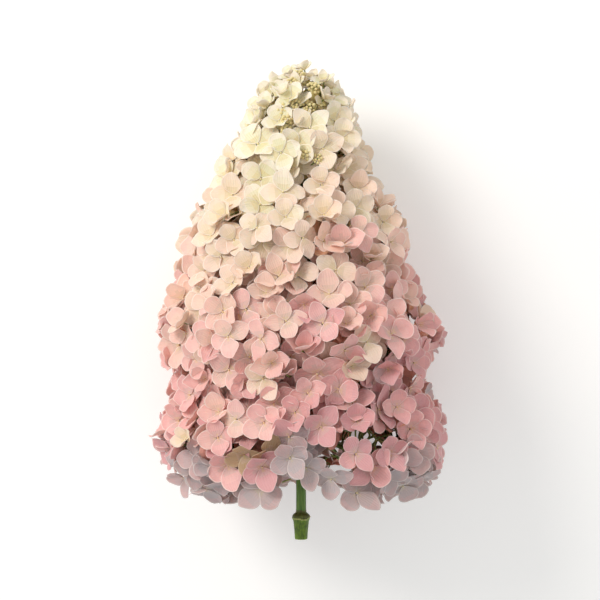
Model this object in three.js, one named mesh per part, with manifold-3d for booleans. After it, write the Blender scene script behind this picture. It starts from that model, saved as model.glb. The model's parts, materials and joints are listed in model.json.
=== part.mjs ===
// A cut flower head of a panicle hydrangea, lying on its side on a table.
// Lengths are millimetres and angles degrees. While it is built, the head's axis runs along +Y from the
// cut end at the origin, and +Z is the side that lies uppermost.

import * as THREE from "three";
import { mergeVertices } from "three/addons/utils/BufferGeometryUtils.js";
import Module from "manifold-3d";

// How it lies: the widest rings of florets and the tip's side rest on the table, pressed a little flat
const REST_TILT = 6; // the tip lies lower than the cut end
const REST_HEIGHT = 92; // of the cut end's centre above the table

// Outline of the head from beside the stem, round the drooping rim and up over three bellies to the
// tip: [radius of the ring of florets, its distance from the cut end, how far its middle is off the axis]
const OUTLINE = [
  [9, 50, 0],
  [34, 37, 0],
  [60, 28.5, 2],
  [80, 37, 1],
  [92, 63, 0],
  [81, 97, 0.5],
  [89, 132, -2],
  [73, 165, -5],
  [70.5, 192, -4],
  [52, 222, -4],
  [41.5, 249, -2],
  [31, 273, 0],
  [17, 289, 1],
  [1, 296, 1],
];
// The rim is higher on the upper side, where the stem shows
const RIM_NOTCH = { lift: 25, halfAngle: 40, from: 25, upTo: 80 };

// Stem: [radius, distance from the cut end]. It swells at the old leaf joint, then tapers to its tip.
const STEM_PROFILE = [
  [3.9, 0],
  [4.25, 5],
  [4.7, 9.6],
  [5.1, 12.2],
  [5.1, 14.8],
  [4.7, 15.6],
  [3.6, 16.5],
  [3.3, 17.2],
  [3.1, 26],
  [3.05, 48],
  [2.9, 62],
  [2.4, 110],
  [2.0, 160],
  [1.6, 205],
  [1.2, 252],
];
const STEM_SIDES = 12;
const LEAF_SCAR = { at: 13.6, out: 4.1, size: [1.7, 1.9, 2.8] };

// Side branches leave the stem in whorls. Each carries one mass of florets at its end.
// count: branches in the whorl; leaves: where they leave the stem; centre: where their masses are centred
const WHORLS = [
  { count: 5, leaves: 60, centre: 38, turn: 0 },
  { count: 5, leaves: 70, centre: 74, turn: 36 },
  { count: 5, leaves: 94, centre: 112, turn: 0 },
  { count: 4, leaves: 126, centre: 151, turn: 45 },
  { count: 4, leaves: 166, centre: 192, turn: 0 },
  { count: 3, leaves: 206, centre: 232, turn: 30 },
];
const BRANCH = { root: 1.7, tip: 1.2, reach: 0.5, rise: 0.3, sides: 5, steps: 3 };
const CLEARANCE = 0.3; // between separate pieces
const SHORTEST_EDGE = 0.005; // that a joined piece may keep
const REGROWTHS = 60; // times that a mass is grown again for clean joints

// A mass grows on one twig. Shares are of its length: where it bends, how far it goes towards the
// mass's middle, and where its first and last stalks leave it.
const TWIG = { root: 1.25, tip: 1.1, sides: 5, bend: 0.4, length: 0.55, firstStalk: 0.2, lastStalk: 0.97 };
const STALK = { root: 0.65, tip: 0.6, sides: 3 };

// Florets: four broad sepals in a shallow cup, drawn larger than the real 24 mm so that fewer cover the head
const FLORET_RADIUS = 14.6;
const FLORET_PITCH = 25.2; // between neighbours on the head
const NUDGE = { along: 0.012, round: 0.35 }; // in shares of the outline and of the pitch
const FLORET_CUP = 4.2; // how far the sepal tips stand above the centre
const FLORET_THICKNESS = 1.1; // at its centre, thinning to the rims
const FLORET_DEPTH = 6; // of its centre under the outline
const FLORET_LEAN = 22; // most it leans away from the outline's normal
const TIP_FLORET_SCALE = 0.72; // florets are younger and smaller at the tip
const TRIES = 10; // places and sizes tried before a floret is left out
const SHRINK = 0.035; // share of its size that each try takes off
const DEEPER = 2.2; // that every second and third try sits further in
const LEAST_RISE = 0.45; // cosine of the widest angle between a floret's stalk and its facing
const HEAD_NECK = 1.5; // of stalk that counts as a floret's head, which keeps clear of its neighbours

// One sepal's rim, from the notch beside it: [angle from the sepal's own line, share of the radius]
const SEPAL_RIM = [
  [-45, 0.42],
  [-24, 0.97],
  [0, 1.0],
  [24, 0.97],
];

// Unopened flowers stand in small clusters between the florets near the tip
const BUD_RADIUS = 1.7;
const BUD_SPREAD = 22; // widest range of their nudges from a floret's place
const BUD_FROM = 215; // nearest to the cut end that they still show
const BUDS = { tip: 7, whorl: 3 };

const COLOURS = { stem: 0x5f8f2f, branch: 0x9aa758, low: 0xdc9c98, middle: 0xeac0ac, high: 0xf1e8c6 };

const wasm = await Module();
wasm.setup();

// Returns repeatable numbers from 0 to 1 for a whole-number seed.
function seeded(seed) {
  let state = seed >>> 0;
  return () => {
    state = (state + 0x6d2b79f5) >>> 0;
    let t = Math.imul(state ^ (state >>> 15), 1 | state);
    t = (t + Math.imul(t ^ (t >>> 7), 61 | t)) ^ t;
    return ((t ^ (t >>> 14)) >>> 0) / 4294967296;
  };
}

const radians = THREE.MathUtils.degToRad;
const outline = new THREE.SplineCurve(OUTLINE.map(([r, s]) => new THREE.Vector2(r, s)));
const middles = new THREE.SplineCurve(OUTLINE.map(([, s, x]) => new THREE.Vector2(x, s)));
const lyingUp = new THREE.Vector3(0, -Math.sin(radians(REST_TILT)), Math.cos(radians(REST_TILT)));

// A point at a radius, a distance from the cut end and an angle round the axis. Angle 0 is +X, 90 is +Z.
function around(radius, distance, angle) {
  return new THREE.Vector3(radius * Math.cos(angle), distance, radius * Math.sin(angle));
}

// Height above the table of a point in the head's own frame.
function heightOf(point) {
  return REST_HEIGHT + point.dot(lyingUp);
}

// Radius of the head's outline at a distance from the cut end, above the drooping rim.
function outlineRadius(distance) {
  const stations = OUTLINE.slice(2);
  const next = stations.findIndex(([, s]) => s >= distance);
  const [r0, s0] = stations[Math.max(next - 1, 0)];
  const [r1, s1] = stations[Math.max(next, 0)];
  return s1 === s0 ? r0 : THREE.MathUtils.lerp(r0, r1, (distance - s0) / (s1 - s0));
}

function stemRadius(distance) {
  const next = STEM_PROFILE.findIndex(([, s]) => s >= distance);
  const [r1, s1] = STEM_PROFILE[next];
  const [r0, s0] = STEM_PROFILE[next - 1];
  return THREE.MathUtils.lerp(r0, r1, (distance - s0) / (s1 - s0));
}

// Turns a closed geometry into a solid for joining and measuring.
function solidOf(geometry) {
  const bare = geometry.clone();
  bare.deleteAttribute("normal");
  bare.deleteAttribute("uv");
  const merged = mergeVertices(bare, 1e-4);
  return new wasm.Manifold(
    new wasm.Mesh({
      numProp: 3,
      vertProperties: merged.getAttribute("position").array,
      triVerts: new Uint32Array(merged.index.array),
    }),
  );
}

function meshOf(solid, name, colour) {
  const made = solid.getMesh();
  const geometry = new THREE.BufferGeometry();
  geometry.setAttribute("position", new THREE.BufferAttribute(made.vertProperties, 3));
  geometry.setIndex(new THREE.BufferAttribute(made.triVerts, 1));
  geometry.computeVertexNormals();
  const material = new THREE.MeshStandardMaterial({ color: colour, roughness: 0.75, metalness: 0 });
  const mesh = new THREE.Mesh(geometry, material);
  mesh.name = name;
  return mesh;
}

// A limb along a curve: a capped cylinder bent to follow it, with its radius at shares of the way.
// Its first ring can be turned to face another way than the curve.
function limbGeometry(curve, stations, sides, rootFacing) {
  const steps = stations.length - 1;
  const geometry = new THREE.CylinderGeometry(1, 1, 1, sides, steps);
  const position = geometry.getAttribute("position");
  const vertex = new THREE.Vector3();
  const turn = new THREE.Quaternion();
  const up = new THREE.Vector3(0, 1, 0);
  for (let i = 0; i < position.count; i += 1) {
    vertex.fromBufferAttribute(position, i);
    const step = Math.round((vertex.y + 0.5) * steps);
    const [share, radius] = stations[step];
    turn.setFromUnitVectors(up, step === 0 && rootFacing ? rootFacing : curve.getTangentAt(share));
    vertex.y = 0;
    vertex.multiplyScalar(radius).applyQuaternion(turn).add(curve.getPointAt(share));
    position.setXYZ(i, vertex.x, vertex.y, vertex.z);
  }
  return geometry;
}

// A bud on its stalk.
function budSolid(from, to) {
  const neck = 1 - (1.7 * BUD_RADIUS) / from.distanceTo(to);
  const stations = [
    [0, STALK.root],
    [neck, STALK.tip],
    [(1 + neck) / 2, BUD_RADIUS],
    [1, BUD_RADIUS * 0.3],
  ];
  return solidOf(limbGeometry(new THREE.LineCurve3(from, to), stations, STALK.sides + 1));
}

// The stem: a turned shape from the flat cut to the tip, with a leaf scar on each side of the old joint.
function stemSolid() {
  const profile = STEM_PROFILE.map(([r, s]) => new THREE.Vector2(r, s));
  const first = new THREE.Vector2(0, STEM_PROFILE[0][1]);
  const last = new THREE.Vector2(0, STEM_PROFILE.at(-1)[1]);
  let solid = solidOf(new THREE.LatheGeometry([first, ...profile, last], STEM_SIDES));
  for (const side of [-1, 1]) {
    const scar = new THREE.SphereGeometry(1, 6, 4).scale(...LEAF_SCAR.size);
    scar.translate(side * LEAF_SCAR.out, LEAF_SCAR.at, 0);
    solid = solid.add(solidOf(scar));
  }
  return solid;
}

// Where each side branch runs, and where the mass that it carries is centred on the outline.
function branchPlans() {
  const plans = [];
  WHORLS.forEach((whorl, level) => {
    const radius = outlineRadius(whorl.centre);
    for (let i = 0; i < whorl.count; i += 1) {
      const angle = radians(whorl.turn + 90 + (360 * i) / whorl.count);
      const outward = around(1, 0, angle);
      const root = around(stemRadius(whorl.leaves) + CLEARANCE + 0.02, whorl.leaves, angle);
      const hubDistance = THREE.MathUtils.lerp(whorl.leaves, whorl.centre, BRANCH.rise + 0.2);
      const hub = around(radius * BRANCH.reach, hubDistance, angle);
      const bend = around(radius * BRANCH.reach * 0.5, whorl.leaves + radius * BRANCH.rise * 0.25, angle);
      plans.push({
        name: `${level + 1}_${i + 1}`,
        curve: new THREE.QuadraticBezierCurve3(root, bend, hub),
        outward,
        anchor: around(radius - FLORET_DEPTH, whorl.centre, angle),
      });
    }
  });
  return plans;
}

function branchSolid(plan) {
  const stations = [];
  for (let i = 0; i <= BRANCH.steps; i += 1) {
    const share = i / BRANCH.steps;
    stations.push([share, THREE.MathUtils.lerp(BRANCH.root, BRANCH.tip, share)]);
  }
  return solidOf(limbGeometry(plan.curve, stations, BRANCH.sides, plan.outward));
}

// One floret with its stalk, from a root point: a fan over the rim of its four sepals, and under it
// the stalk's last ring, bent to come from the root. One pair of sepals stands higher than the other.
function floretGeometry({ centre, facing, turn, radius, cup, root }) {
  const toFacing = new THREE.Quaternion().setFromUnitVectors(new THREE.Vector3(0, 0, 1), facing);
  const away = centre.clone().sub(root).normalize();
  const toAway = new THREE.Quaternion().setFromUnitVectors(facing, away);
  const at = (x, y, z) => new THREE.Vector3(x, y, z).applyQuaternion(toFacing);
  const rimCount = SEPAL_RIM.length * 4;
  const points = [at(0, 0, FLORET_THICKNESS / 2).add(centre)];
  for (let i = 0; i < rimCount; i += 1) {
    const sepal = Math.floor(i / SEPAL_RIM.length);
    const [offset, share] = SEPAL_RIM[i % SEPAL_RIM.length];
    const angle = radians(90 * sepal + offset) + turn;
    const lift = cup * share * share * (sepal % 2 ? 1 : 0.55) + Math.sin(radians(offset)) * cup * 0.25;
    const out = radius * share;
    points.push(at(out * Math.cos(angle), out * Math.sin(angle), lift).add(centre));
  }
  const corner = (k) => turn + radians(-45) + (2 * Math.PI * (k + 0.5)) / STALK.sides;
  for (let k = 0; k < STALK.sides; k += 1) {
    const ring = at(Math.cos(corner(k)), Math.sin(corner(k)), 0).multiplyScalar(STALK.tip);
    points.push(ring.add(at(0, 0, -FLORET_THICKNESS / 2)).add(centre));
  }
  for (let k = 0; k < STALK.sides; k += 1) {
    const ring = at(Math.cos(corner(k)), Math.sin(corner(k)), 0).multiplyScalar(STALK.root);
    points.push(ring.applyQuaternion(toAway).add(root));
  }
  const faces = [];
  const upper = (k) => 1 + rimCount + (k % STALK.sides);
  const lower = (k) => upper(k) + STALK.sides;
  const nearest = (i) => Math.floor((i * STALK.sides) / rimCount);
  for (let i = 0; i < rimCount; i += 1) {
    const [here, next] = [1 + i, 1 + ((i + 1) % rimCount)];
    faces.push([0, here, next], [next, here, upper(nearest(i))]);
    if (nearest(i + 1) !== nearest(i)) faces.push([next, upper(nearest(i)), upper(nearest(i + 1))]);
  }
  for (let k = 0; k < STALK.sides; k += 1) {
    faces.push([upper(k + 1), upper(k), lower(k)], [upper(k + 1), lower(k), lower(k + 1)]);
    if (k > 1) faces.push([lower(0), lower(k), lower(k - 1)]);
  }
  const geometry = new THREE.BufferGeometry().setFromPoints(points);
  return geometry.setIndex(faces.flat());
}

// Florets spread evenly over the outline in rings, each ring turned and its florets nudged by the seed.
function floretPlaces() {
  const random = seeded(11);
  const places = [];
  const rings = Math.round(outline.getLength() / (FLORET_PITCH * 0.93));
  for (let ring = 0; ring < rings; ring += 1) {
    const along = (ring + 0.5) / rings;
    const count = Math.max(1, Math.round((2 * Math.PI * outline.getPointAt(along).x) / FLORET_PITCH));
    const start = random();
    for (let i = 0; i < count; i += 1) {
      const nudged = THREE.MathUtils.clamp(along + (random() - 0.5) * NUDGE.along, 0.01, 0.99);
      const point = outline.getPointAt(nudged);
      const tangent = outline.getTangentAt(nudged);
      const angle = 2 * Math.PI * ((i + start + (random() - 0.5) * NUDGE.round) / count);
      const normal = around(tangent.y, -tangent.x, angle);
      const surface = around(point.x, point.y, angle);
      surface.x += middles.getPoint(outline.getUtoTmapping(nudged)).x;
      surface.y += rimLift(surface);
      places.push({ surface, normal, distance: point.y });
    }
  }
  return places;
}

// How much higher the rim is at a point on the outline.
function rimLift(point) {
  const off = Math.abs(Math.atan2(point.x, point.z)) / radians(RIM_NOTCH.halfAngle);
  const across = Math.max(0, Math.cos((Math.min(off, 1) * Math.PI) / 2)) ** 2;
  return RIM_NOTCH.lift * across * (1 - THREE.MathUtils.smoothstep(point.y, RIM_NOTCH.from, RIM_NOTCH.upTo));
}

// One try at a floret and its stalk. Later tries are smaller, lean another way and sit at another
// depth. On the table side it lies on the table, facing it.
function floretTry(spot, root, attempt, random) {
  const young = THREE.MathUtils.smoothstep(spot.distance, 215, 295);
  const scale = THREE.MathUtils.lerp(1, TIP_FLORET_SCALE, young) * (1 - SHRINK * attempt);
  const radius = FLORET_RADIUS * scale * (0.94 + 0.12 * random());
  const depth = FLORET_DEPTH * (0.55 + 0.9 * random()) + (attempt % 3) * DEEPER;
  const centre = spot.surface.clone().addScaledVector(spot.normal, -depth);
  const outward = centre.clone().sub(root).normalize();
  const leanWay = new THREE.Vector3(random() - 0.5, random() - 0.5, random() - 0.5);
  leanWay.cross(spot.normal).normalize();
  const facing = spot.normal.clone().lerp(outward, 0.3).normalize();
  facing.applyAxisAngle(leanWay, radians(FLORET_LEAN) * Math.sqrt(random()));
  let cup = FLORET_CUP * scale * (0.5 + 0.9 * random());
  const room = heightOf(centre);
  if (room < radius * 0.6) {
    const flat = THREE.MathUtils.clamp(1 - room / (radius * 0.6), 0, 1);
    facing.lerp(lyingUp.clone().negate(), 0.5 + 0.5 * flat).normalize();
    cup *= 1 - 0.6 * flat;
  }
  const turn = 2 * Math.PI * random();
  const rim = new THREE.Vector3();
  let lowest = Infinity;
  const position = floretGeometry({ centre, facing, turn, radius, cup, root }).getAttribute("position");
  for (let i = 1; i <= SEPAL_RIM.length * 4; i += 1) {
    lowest = Math.min(lowest, heightOf(rim.fromBufferAttribute(position, i)));
  }
  if (lowest < 0) centre.addScaledVector(lyingUp, -lowest);
  const away = centre.clone().sub(root).normalize();
  if (facing.dot(away) < LEAST_RISE) return null;
  const whole = solidOf(floretGeometry({ centre, facing, turn, radius, cup, root }));
  const neck = centre.clone().addScaledVector(facing, -HEAD_NECK);
  const head = solidOf(floretGeometry({ centre, facing, turn, radius, cup, root: neck }));
  return { whole, head };
}

// Pieces already in place. A piece fits if it keeps clear of all that other owners have placed, and if
// its head, if it has one, and the heads of its own owner's pieces keep clear too.
const placed = [];

function place(piece, owner) {
  placed.push({ ...piece, owner, box: piece.whole.boundingBox() });
}

function fits(piece, owner) {
  const box = piece.whole.boundingBox();
  const near = (other) =>
    [0, 1, 2].every((k) => box.min[k] < other.box.max[k] + 1 && box.max[k] > other.box.min[k] - 1);
  const clear = (one, other) => !one || !other || one.minGap(other, 1) >= CLEARANCE;
  return placed.every((other) => {
    if (!near(other)) return true;
    if (other.owner !== owner) return clear(piece.whole, other.whole);
    return clear(piece.head, other.whole) && clear(piece.whole, other.head);
  });
}

function meanOf(points) {
  const sum = points.reduce((total, point) => total.add(point), new THREE.Vector3());
  return sum.divideScalar(points.length);
}

// Length of the shortest edge of a solid.
function shortestEdge(solid) {
  const { vertProperties, triVerts } = solid.getMesh();
  const corner = (k) => new THREE.Vector3().fromArray(vertProperties, 3 * triVerts[k]);
  let shortest = Infinity;
  for (let k = 0; k < triVerts.length; k += 1) {
    const next = k % 3 === 2 ? k - 2 : k + 1;
    shortest = Math.min(shortest, corner(k).distanceTo(corner(next)));
  }
  return shortest;
}

// Grows one mass: a twig from just past its branch's tip to its crown, and along the twig a stalk to
// each floret. What would touch another piece is tried again and then left out.
function growMass(owner, start, ahead, places, budCount, random) {
  const root = start.clone().addScaledVector(ahead, CLEARANCE + 0.02);
  const crown = root.clone().lerp(meanOf(places.map((item) => item.surface)), TWIG.length);
  const bend = root.clone().addScaledVector(ahead, root.distanceTo(crown) * TWIG.bend);
  const curve = new THREE.QuadraticBezierCurve3(root, bend, crown);
  const stations = [0, 0.33, 0.66, 1].map((t) => [t, THREE.MathUtils.lerp(TWIG.root, TWIG.tip, t)]);
  const main = { whole: solidOf(limbGeometry(curve, stations, TWIG.sides, ahead)) };
  if (!fits(main, owner)) throw new Error(`the twig of ${owner} touches another piece`);
  place(main, owner);
  const pieces = [main.whole];
  const along = (item) => item.surface.clone().sub(root).dot(ahead);
  const ordered = [...places].sort((a, b) => along(a) - along(b));
  const rootOf = (share) => curve.getPointAt(THREE.MathUtils.lerp(TWIG.firstStalk, TWIG.lastStalk, share));
  ordered.forEach((item, i) => {
    const stalkRoot = rootOf((i + 0.5) / ordered.length);
    for (let attempt = 0; attempt < TRIES; attempt += 1) {
      const floret = floretTry(item, stalkRoot, attempt, random);
      if (!floret || !fits(floret, owner)) continue;
      place(floret, owner);
      pieces.push(floret.whole);
      break;
    }
  });
  const florets = pieces.length;
  for (let attempt = 0; attempt < budCount * TRIES; attempt += 1) {
    if (pieces.length === florets + budCount) break;
    const item = places[Math.floor(random() * places.length)];
    const aside = new THREE.Vector3(random() - 0.5, random() - 0.5, random() - 0.5);
    const end = item.surface.clone().addScaledVector(aside, BUD_SPREAD);
    const whole = budSolid(rootOf(0.3 + 0.7 * random()), end);
    const bud = { whole, head: budSolid(end.clone().lerp(crown, 0.2), end) };
    if (!fits(bud, owner)) continue;
    place(bud, owner);
    pieces.push(bud.whole);
  }
  return wasm.Manifold.union(pieces);
}

// Grows a mass again until its joints have no edge that is too short to keep.
function massSolid(owner, mass, budCount, seed) {
  for (let again = 0; again < REGROWTHS; again += 1) {
    const solid = growMass(owner, mass.start, mass.ahead, mass.florets, budCount, seeded(seed + 100 * again));
    if (solid.decompose().length === 1 && shortestEdge(solid) > SHORTEST_EDGE) return solid;
    if (again < REGROWTHS - 1) placed.splice(0, placed.length, ...placed.filter((piece) => piece.owner !== owner));
  }
  throw new Error(`${owner} has no clean joints`);
}

// Colour of a mass by its distance from the cut end: pink, then blush, then cream.
function massColour(distance) {
  const low = new THREE.Color(COLOURS.low);
  const middle = new THREE.Color(COLOURS.middle);
  const high = new THREE.Color(COLOURS.high);
  if (distance < 150) return low.lerp(middle, distance / 150);
  return middle.lerp(high, Math.min(1, (distance - 150) / 80));
}

function buildHead() {
  const head = new THREE.Group();
  const stem = stemSolid();
  place({ whole: stem }, "stem");
  head.add(meshOf(stem, "stem", COLOURS.stem));

  const tipStart = new THREE.Vector3(0, STEM_PROFILE.at(-1)[1], 0);
  const tipMass = {
    name: "tip",
    start: tipStart,
    ahead: new THREE.Vector3(0, 1, 0),
    anchor: tipStart.clone().setY(284),
  };
  const masses = [tipMass];
  for (const plan of branchPlans()) {
    const solid = branchSolid(plan);
    place({ whole: solid }, `side_branch_${plan.name}`);
    head.add(meshOf(solid, `side_branch_${plan.name}`, COLOURS.branch));
    const ahead = plan.curve.getTangentAt(1);
    masses.push({ name: plan.name, start: plan.curve.getPointAt(1), ahead, anchor: plan.anchor });
  }

  for (const item of floretPlaces()) {
    const nearest = masses.reduce((best, mass) =>
      item.surface.distanceTo(mass.anchor) < item.surface.distanceTo(best.anchor) ? mass : best,
    );
    (nearest.florets ??= []).push(item);
  }
  masses.forEach((mass, i) => {
    const owner = `florets_${mass.name}`;
    const showsBuds = mass.anchor.y > BUD_FROM ? BUDS.whorl : 0;
    const solid = massSolid(owner, mass, mass === tipMass ? BUDS.tip : showsBuds, i);
    head.add(meshOf(solid, owner, massColour(mass.anchor.y)));
  });
  return head;
}

// Tilts the head onto the table and puts the origin on the table under the middle of its box.
const head = buildHead();
head.rotation.x = -radians(REST_TILT);
const panicle = new THREE.Group();
panicle.add(head);
panicle.updateMatrixWorld(true);
const box = new THREE.Box3().setFromObject(head, true);
const middle = box.getCenter(new THREE.Vector3());
head.position.set(-middle.x, -middle.y, -box.min.z);

export default panicle;
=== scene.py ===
"""A cut flower head of a panicle hydrangea, lying on a pale table.

Lengths are millimetres in the head's own frame, whose origin is the middle of the cut end, with y along
the stem towards the tip and z the side that lies uppermost. `Lying` turns them into the frame's metres.
"""

import json
import logging
import math
from collections.abc import Iterator, Sequence
from dataclasses import dataclass, field, replace
from enum import Enum

import bmesh
import bpy
import numpy as np
from mathutils import Matrix, Vector
from mathutils.bvhtree import BVHTree


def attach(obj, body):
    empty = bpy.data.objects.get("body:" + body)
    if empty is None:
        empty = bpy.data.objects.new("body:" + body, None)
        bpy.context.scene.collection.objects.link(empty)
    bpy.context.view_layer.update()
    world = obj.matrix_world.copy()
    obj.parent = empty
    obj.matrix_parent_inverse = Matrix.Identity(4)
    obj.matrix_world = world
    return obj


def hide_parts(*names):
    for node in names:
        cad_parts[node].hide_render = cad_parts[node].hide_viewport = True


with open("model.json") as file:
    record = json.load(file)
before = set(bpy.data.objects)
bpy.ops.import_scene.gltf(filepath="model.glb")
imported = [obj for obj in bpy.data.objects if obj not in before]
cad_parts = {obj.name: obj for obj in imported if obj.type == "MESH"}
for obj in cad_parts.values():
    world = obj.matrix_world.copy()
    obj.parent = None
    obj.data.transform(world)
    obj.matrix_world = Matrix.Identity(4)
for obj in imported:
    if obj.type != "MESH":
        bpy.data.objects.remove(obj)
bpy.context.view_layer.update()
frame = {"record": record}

# The photograph's scale, its middle, the column of the stem's middle and the row of its cut end
PIXEL_MM = 0.625
FRAME_MIDDLE = 300
STEM_COLUMN = 301
CUT_ROW = 539
MM = 0.001
Array = np.ndarray
# The way that a master floret and the head's upper side face, and the way to the tip
FRONTWARDS = np.array([0.0, 0.0, 1.0])
TIPWARDS = np.array([0.0, 1.0, 0.0])

log = logging.getLogger("hydrangea")


# Numbers and colours


def unit(vector: Array) -> Array:
    """Scales vectors to length one.

    Args:
        vector: one vector, or one per row.

    Returns:
        The same vectors with length one.
    """
    length = np.linalg.norm(vector, axis=-1, keepdims=True)
    return vector / np.maximum(length, 1e-9)


def smoothstep(value: Array | float, low: float, high: float) -> Array | float:
    """Rises smoothly from 0 at low to 1 at high.

    Args:
        value: where to read the curve.
        low: where the curve leaves 0.
        high: where it reaches 1.

    Returns:
        The curve's value, from 0 to 1.
    """
    t = np.clip((value - low) / (high - low), 0.0, 1.0)
    return t * t * (3.0 - 2.0 * t)


def turning(start: Array, end: Array) -> Array:
    """Finds the smallest turn that takes one direction to another.

    Args:
        start: a unit vector.
        end: a unit vector.

    Returns:
        The 3 by 3 matrix of the turn.
    """
    turn = Vector(start).rotation_difference(Vector(end))
    return np.array(turn.to_matrix())


def about(axis: Array, angle: float) -> Array:
    """Makes a turn about an axis.

    Args:
        axis: the axis, of any length.
        angle: the angle in radians.

    Returns:
        The 3 by 3 matrix of the turn.
    """
    return np.array(Matrix.Rotation(angle, 3, Vector(axis)))


@dataclass(frozen=True)
class Colour:
    """An sRGB colour, each channel from 0 to 1."""

    red: float
    green: float
    blue: float

    @staticmethod
    def of(code: str) -> "Colour":
        """Reads a colour from its six hexadecimal digits.

        Args:
            code: the digits, such as "F6EFD6".

        Returns:
            The colour.
        """
        return Colour(*(int(code[i : i + 2], 16) / 255 for i in (0, 2, 4)))

    def towards(self, other: "Colour", share: float) -> "Colour":
        """Mixes in another colour.

        Args:
            other: the colour to mix in.
            share: how much of it, from 0 to 1, where less than 0 is 0.

        Returns:
            The mixed colour.
        """
        share = max(share, 0.0)
        return Colour(
            self.red + (other.red - self.red) * share,
            self.green + (other.green - self.green) * share,
            self.blue + (other.blue - self.blue) * share,
        )

    def linear(self) -> tuple[float, float, float, float]:
        """Gives the colour as Blender's sockets take it.

        Returns:
            Linear red, green and blue, and an alpha of one.
        """
        made = [c / 12.92 if c <= 0.04045 else ((c + 0.055) / 1.055) ** 2.4 for c in self.channels()]
        return (made[0], made[1], made[2], 1.0)

    def channels(self) -> tuple[float, float, float]:
        """Gives red, green and blue."""
        return (self.red, self.green, self.blue)


# How the head lies and its outline


@dataclass(frozen=True)
class Lying:
    """How the head lies on the table: the place of its cut end, and its tilt with the tip lower."""

    cut_end: Array
    tilt: float

    @property
    def axes(self) -> Array:
        """The frame's directions of the head's own x, y and z, one per row."""
        c, s = math.cos(self.tilt), math.sin(self.tilt)
        return np.array([[1.0, 0.0, 0.0], [0.0, c, -s], [0.0, s, c]])

    @property
    def up(self) -> Array:
        """The upward direction in the head's own frame."""
        return self.axes[:, 2]

    def height(self, points: Array) -> Array:
        """Gives points' heights above the table.

        Args:
            points: places in the head's own frame.

        Returns:
            Heights in millimetres.
        """
        return points @ self.up + self.cut_end[2] / MM

    def place(self, points: Array) -> Array:
        """Turns points of the head's own frame into the shared frame's metres.

        Args:
            points: places in millimetres, one per row.

        Returns:
            Places in metres.
        """
        return points @ self.axes * MM + self.cut_end

    def press(self, points: Array, softness: float = 2.5) -> Array:
        """Presses whatever would sink into the table flat on it.

        Args:
            points: places in the head's own frame, one per row.
            softness: height in millimetres under which points start to be pressed.

        Returns:
            The pressed places.
        """
        height = self.height(points)
        flattened = softness * np.exp(np.minimum(height / softness - 1.0, 0.0))
        pressed = np.where(height < softness, flattened, height)
        return points + np.outer(pressed - height, self.up)


@dataclass(frozen=True)
class OutlinePoint:
    """A place on the outline: radius of the ring, distance along the axis, its middle's offset and normal."""

    radius: float
    distance: float
    offset: float
    out: float
    along: float


@dataclass
class Outline:
    """The head's outline, as a smooth curve through stations of radius, distance and offset.

    The rim is higher in a notch on the upper side: notch_lift says by how much, and notch_from and
    notch_up_to between which distances it fades.
    """

    stations: Sequence[tuple[float, float, float]]
    notch_lift: float
    notch_half_angle: float
    notch_from: float
    notch_up_to: float
    samples: int = 60
    curve: Array = field(init=False)
    length: Array = field(init=False)

    def __post_init__(self) -> None:
        """Samples the curve and measures it."""
        points = np.array(self.stations)
        padded = np.vstack([points[:1], points, points[-1:]])
        rows = []
        for p0, p1, p2, p3 in zip(padded, padded[1:], padded[2:], padded[3:]):
            v0, v1 = (p2 - p0) / 2, (p3 - p1) / 2
            for t in np.linspace(0.0, 1.0, self.samples, endpoint=False):
                cubic = (2 * p1 - 2 * p2 + v0 + v1) * t**3 + (-3 * p1 + 3 * p2 - 2 * v0 - v1) * t**2
                rows.append(cubic + v0 * t + p1)
        rows.append(points[-1])
        self.curve = np.array(rows)
        steps = np.linalg.norm(np.diff(self.curve[:, :2], axis=0), axis=1)
        self.length = np.concatenate([[0.0], np.cumsum(steps)])

    @property
    def total(self) -> float:
        """The outline's length."""
        return float(self.length[-1])

    def at(self, share: float) -> OutlinePoint:
        """Reads the outline at a share of its length.

        Args:
            share: from 0 beside the stem to 1 at the tip.

        Returns:
            The place there.
        """
        here = share * self.total
        radius, distance, offset = (np.interp(here, self.length, self.curve[:, k]) for k in range(3))
        ahead = [np.interp(here + 1, self.length, self.curve[:, k]) for k in range(2)]
        behind = [np.interp(here - 1, self.length, self.curve[:, k]) for k in range(2)]
        tangent = unit(np.array(ahead) - np.array(behind))
        return OutlinePoint(float(radius), float(distance), float(offset), tangent[1], -tangent[0])

    def lift(self, x: float, distance: float, z: float) -> float:
        """Gives how much higher the rim is at a place, on the upper side where the stem shows.

        Args:
            x: the place's x.
            distance: its distance from the cut end.
            z: its z.

        Returns:
            The lift in millimetres.
        """
        off = min(abs(math.atan2(x, z)) / self.notch_half_angle, 1.0)
        across = math.cos(off * math.pi / 2) ** 2
        faded = float(smoothstep(distance, self.notch_from, self.notch_up_to))
        return self.notch_lift * across * (1.0 - faded)


def around(radius: float, distance: float, angle: float) -> Array:
    """Gives a point at a radius, a distance from the cut end and an angle round the axis.

    Args:
        radius: distance from the axis.
        distance: distance from the cut end.
        angle: 0 is +x and a quarter turn is +z.

    Returns:
        The point.
    """
    return np.array([radius * math.cos(angle), distance, radius * math.sin(angle)])


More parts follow.
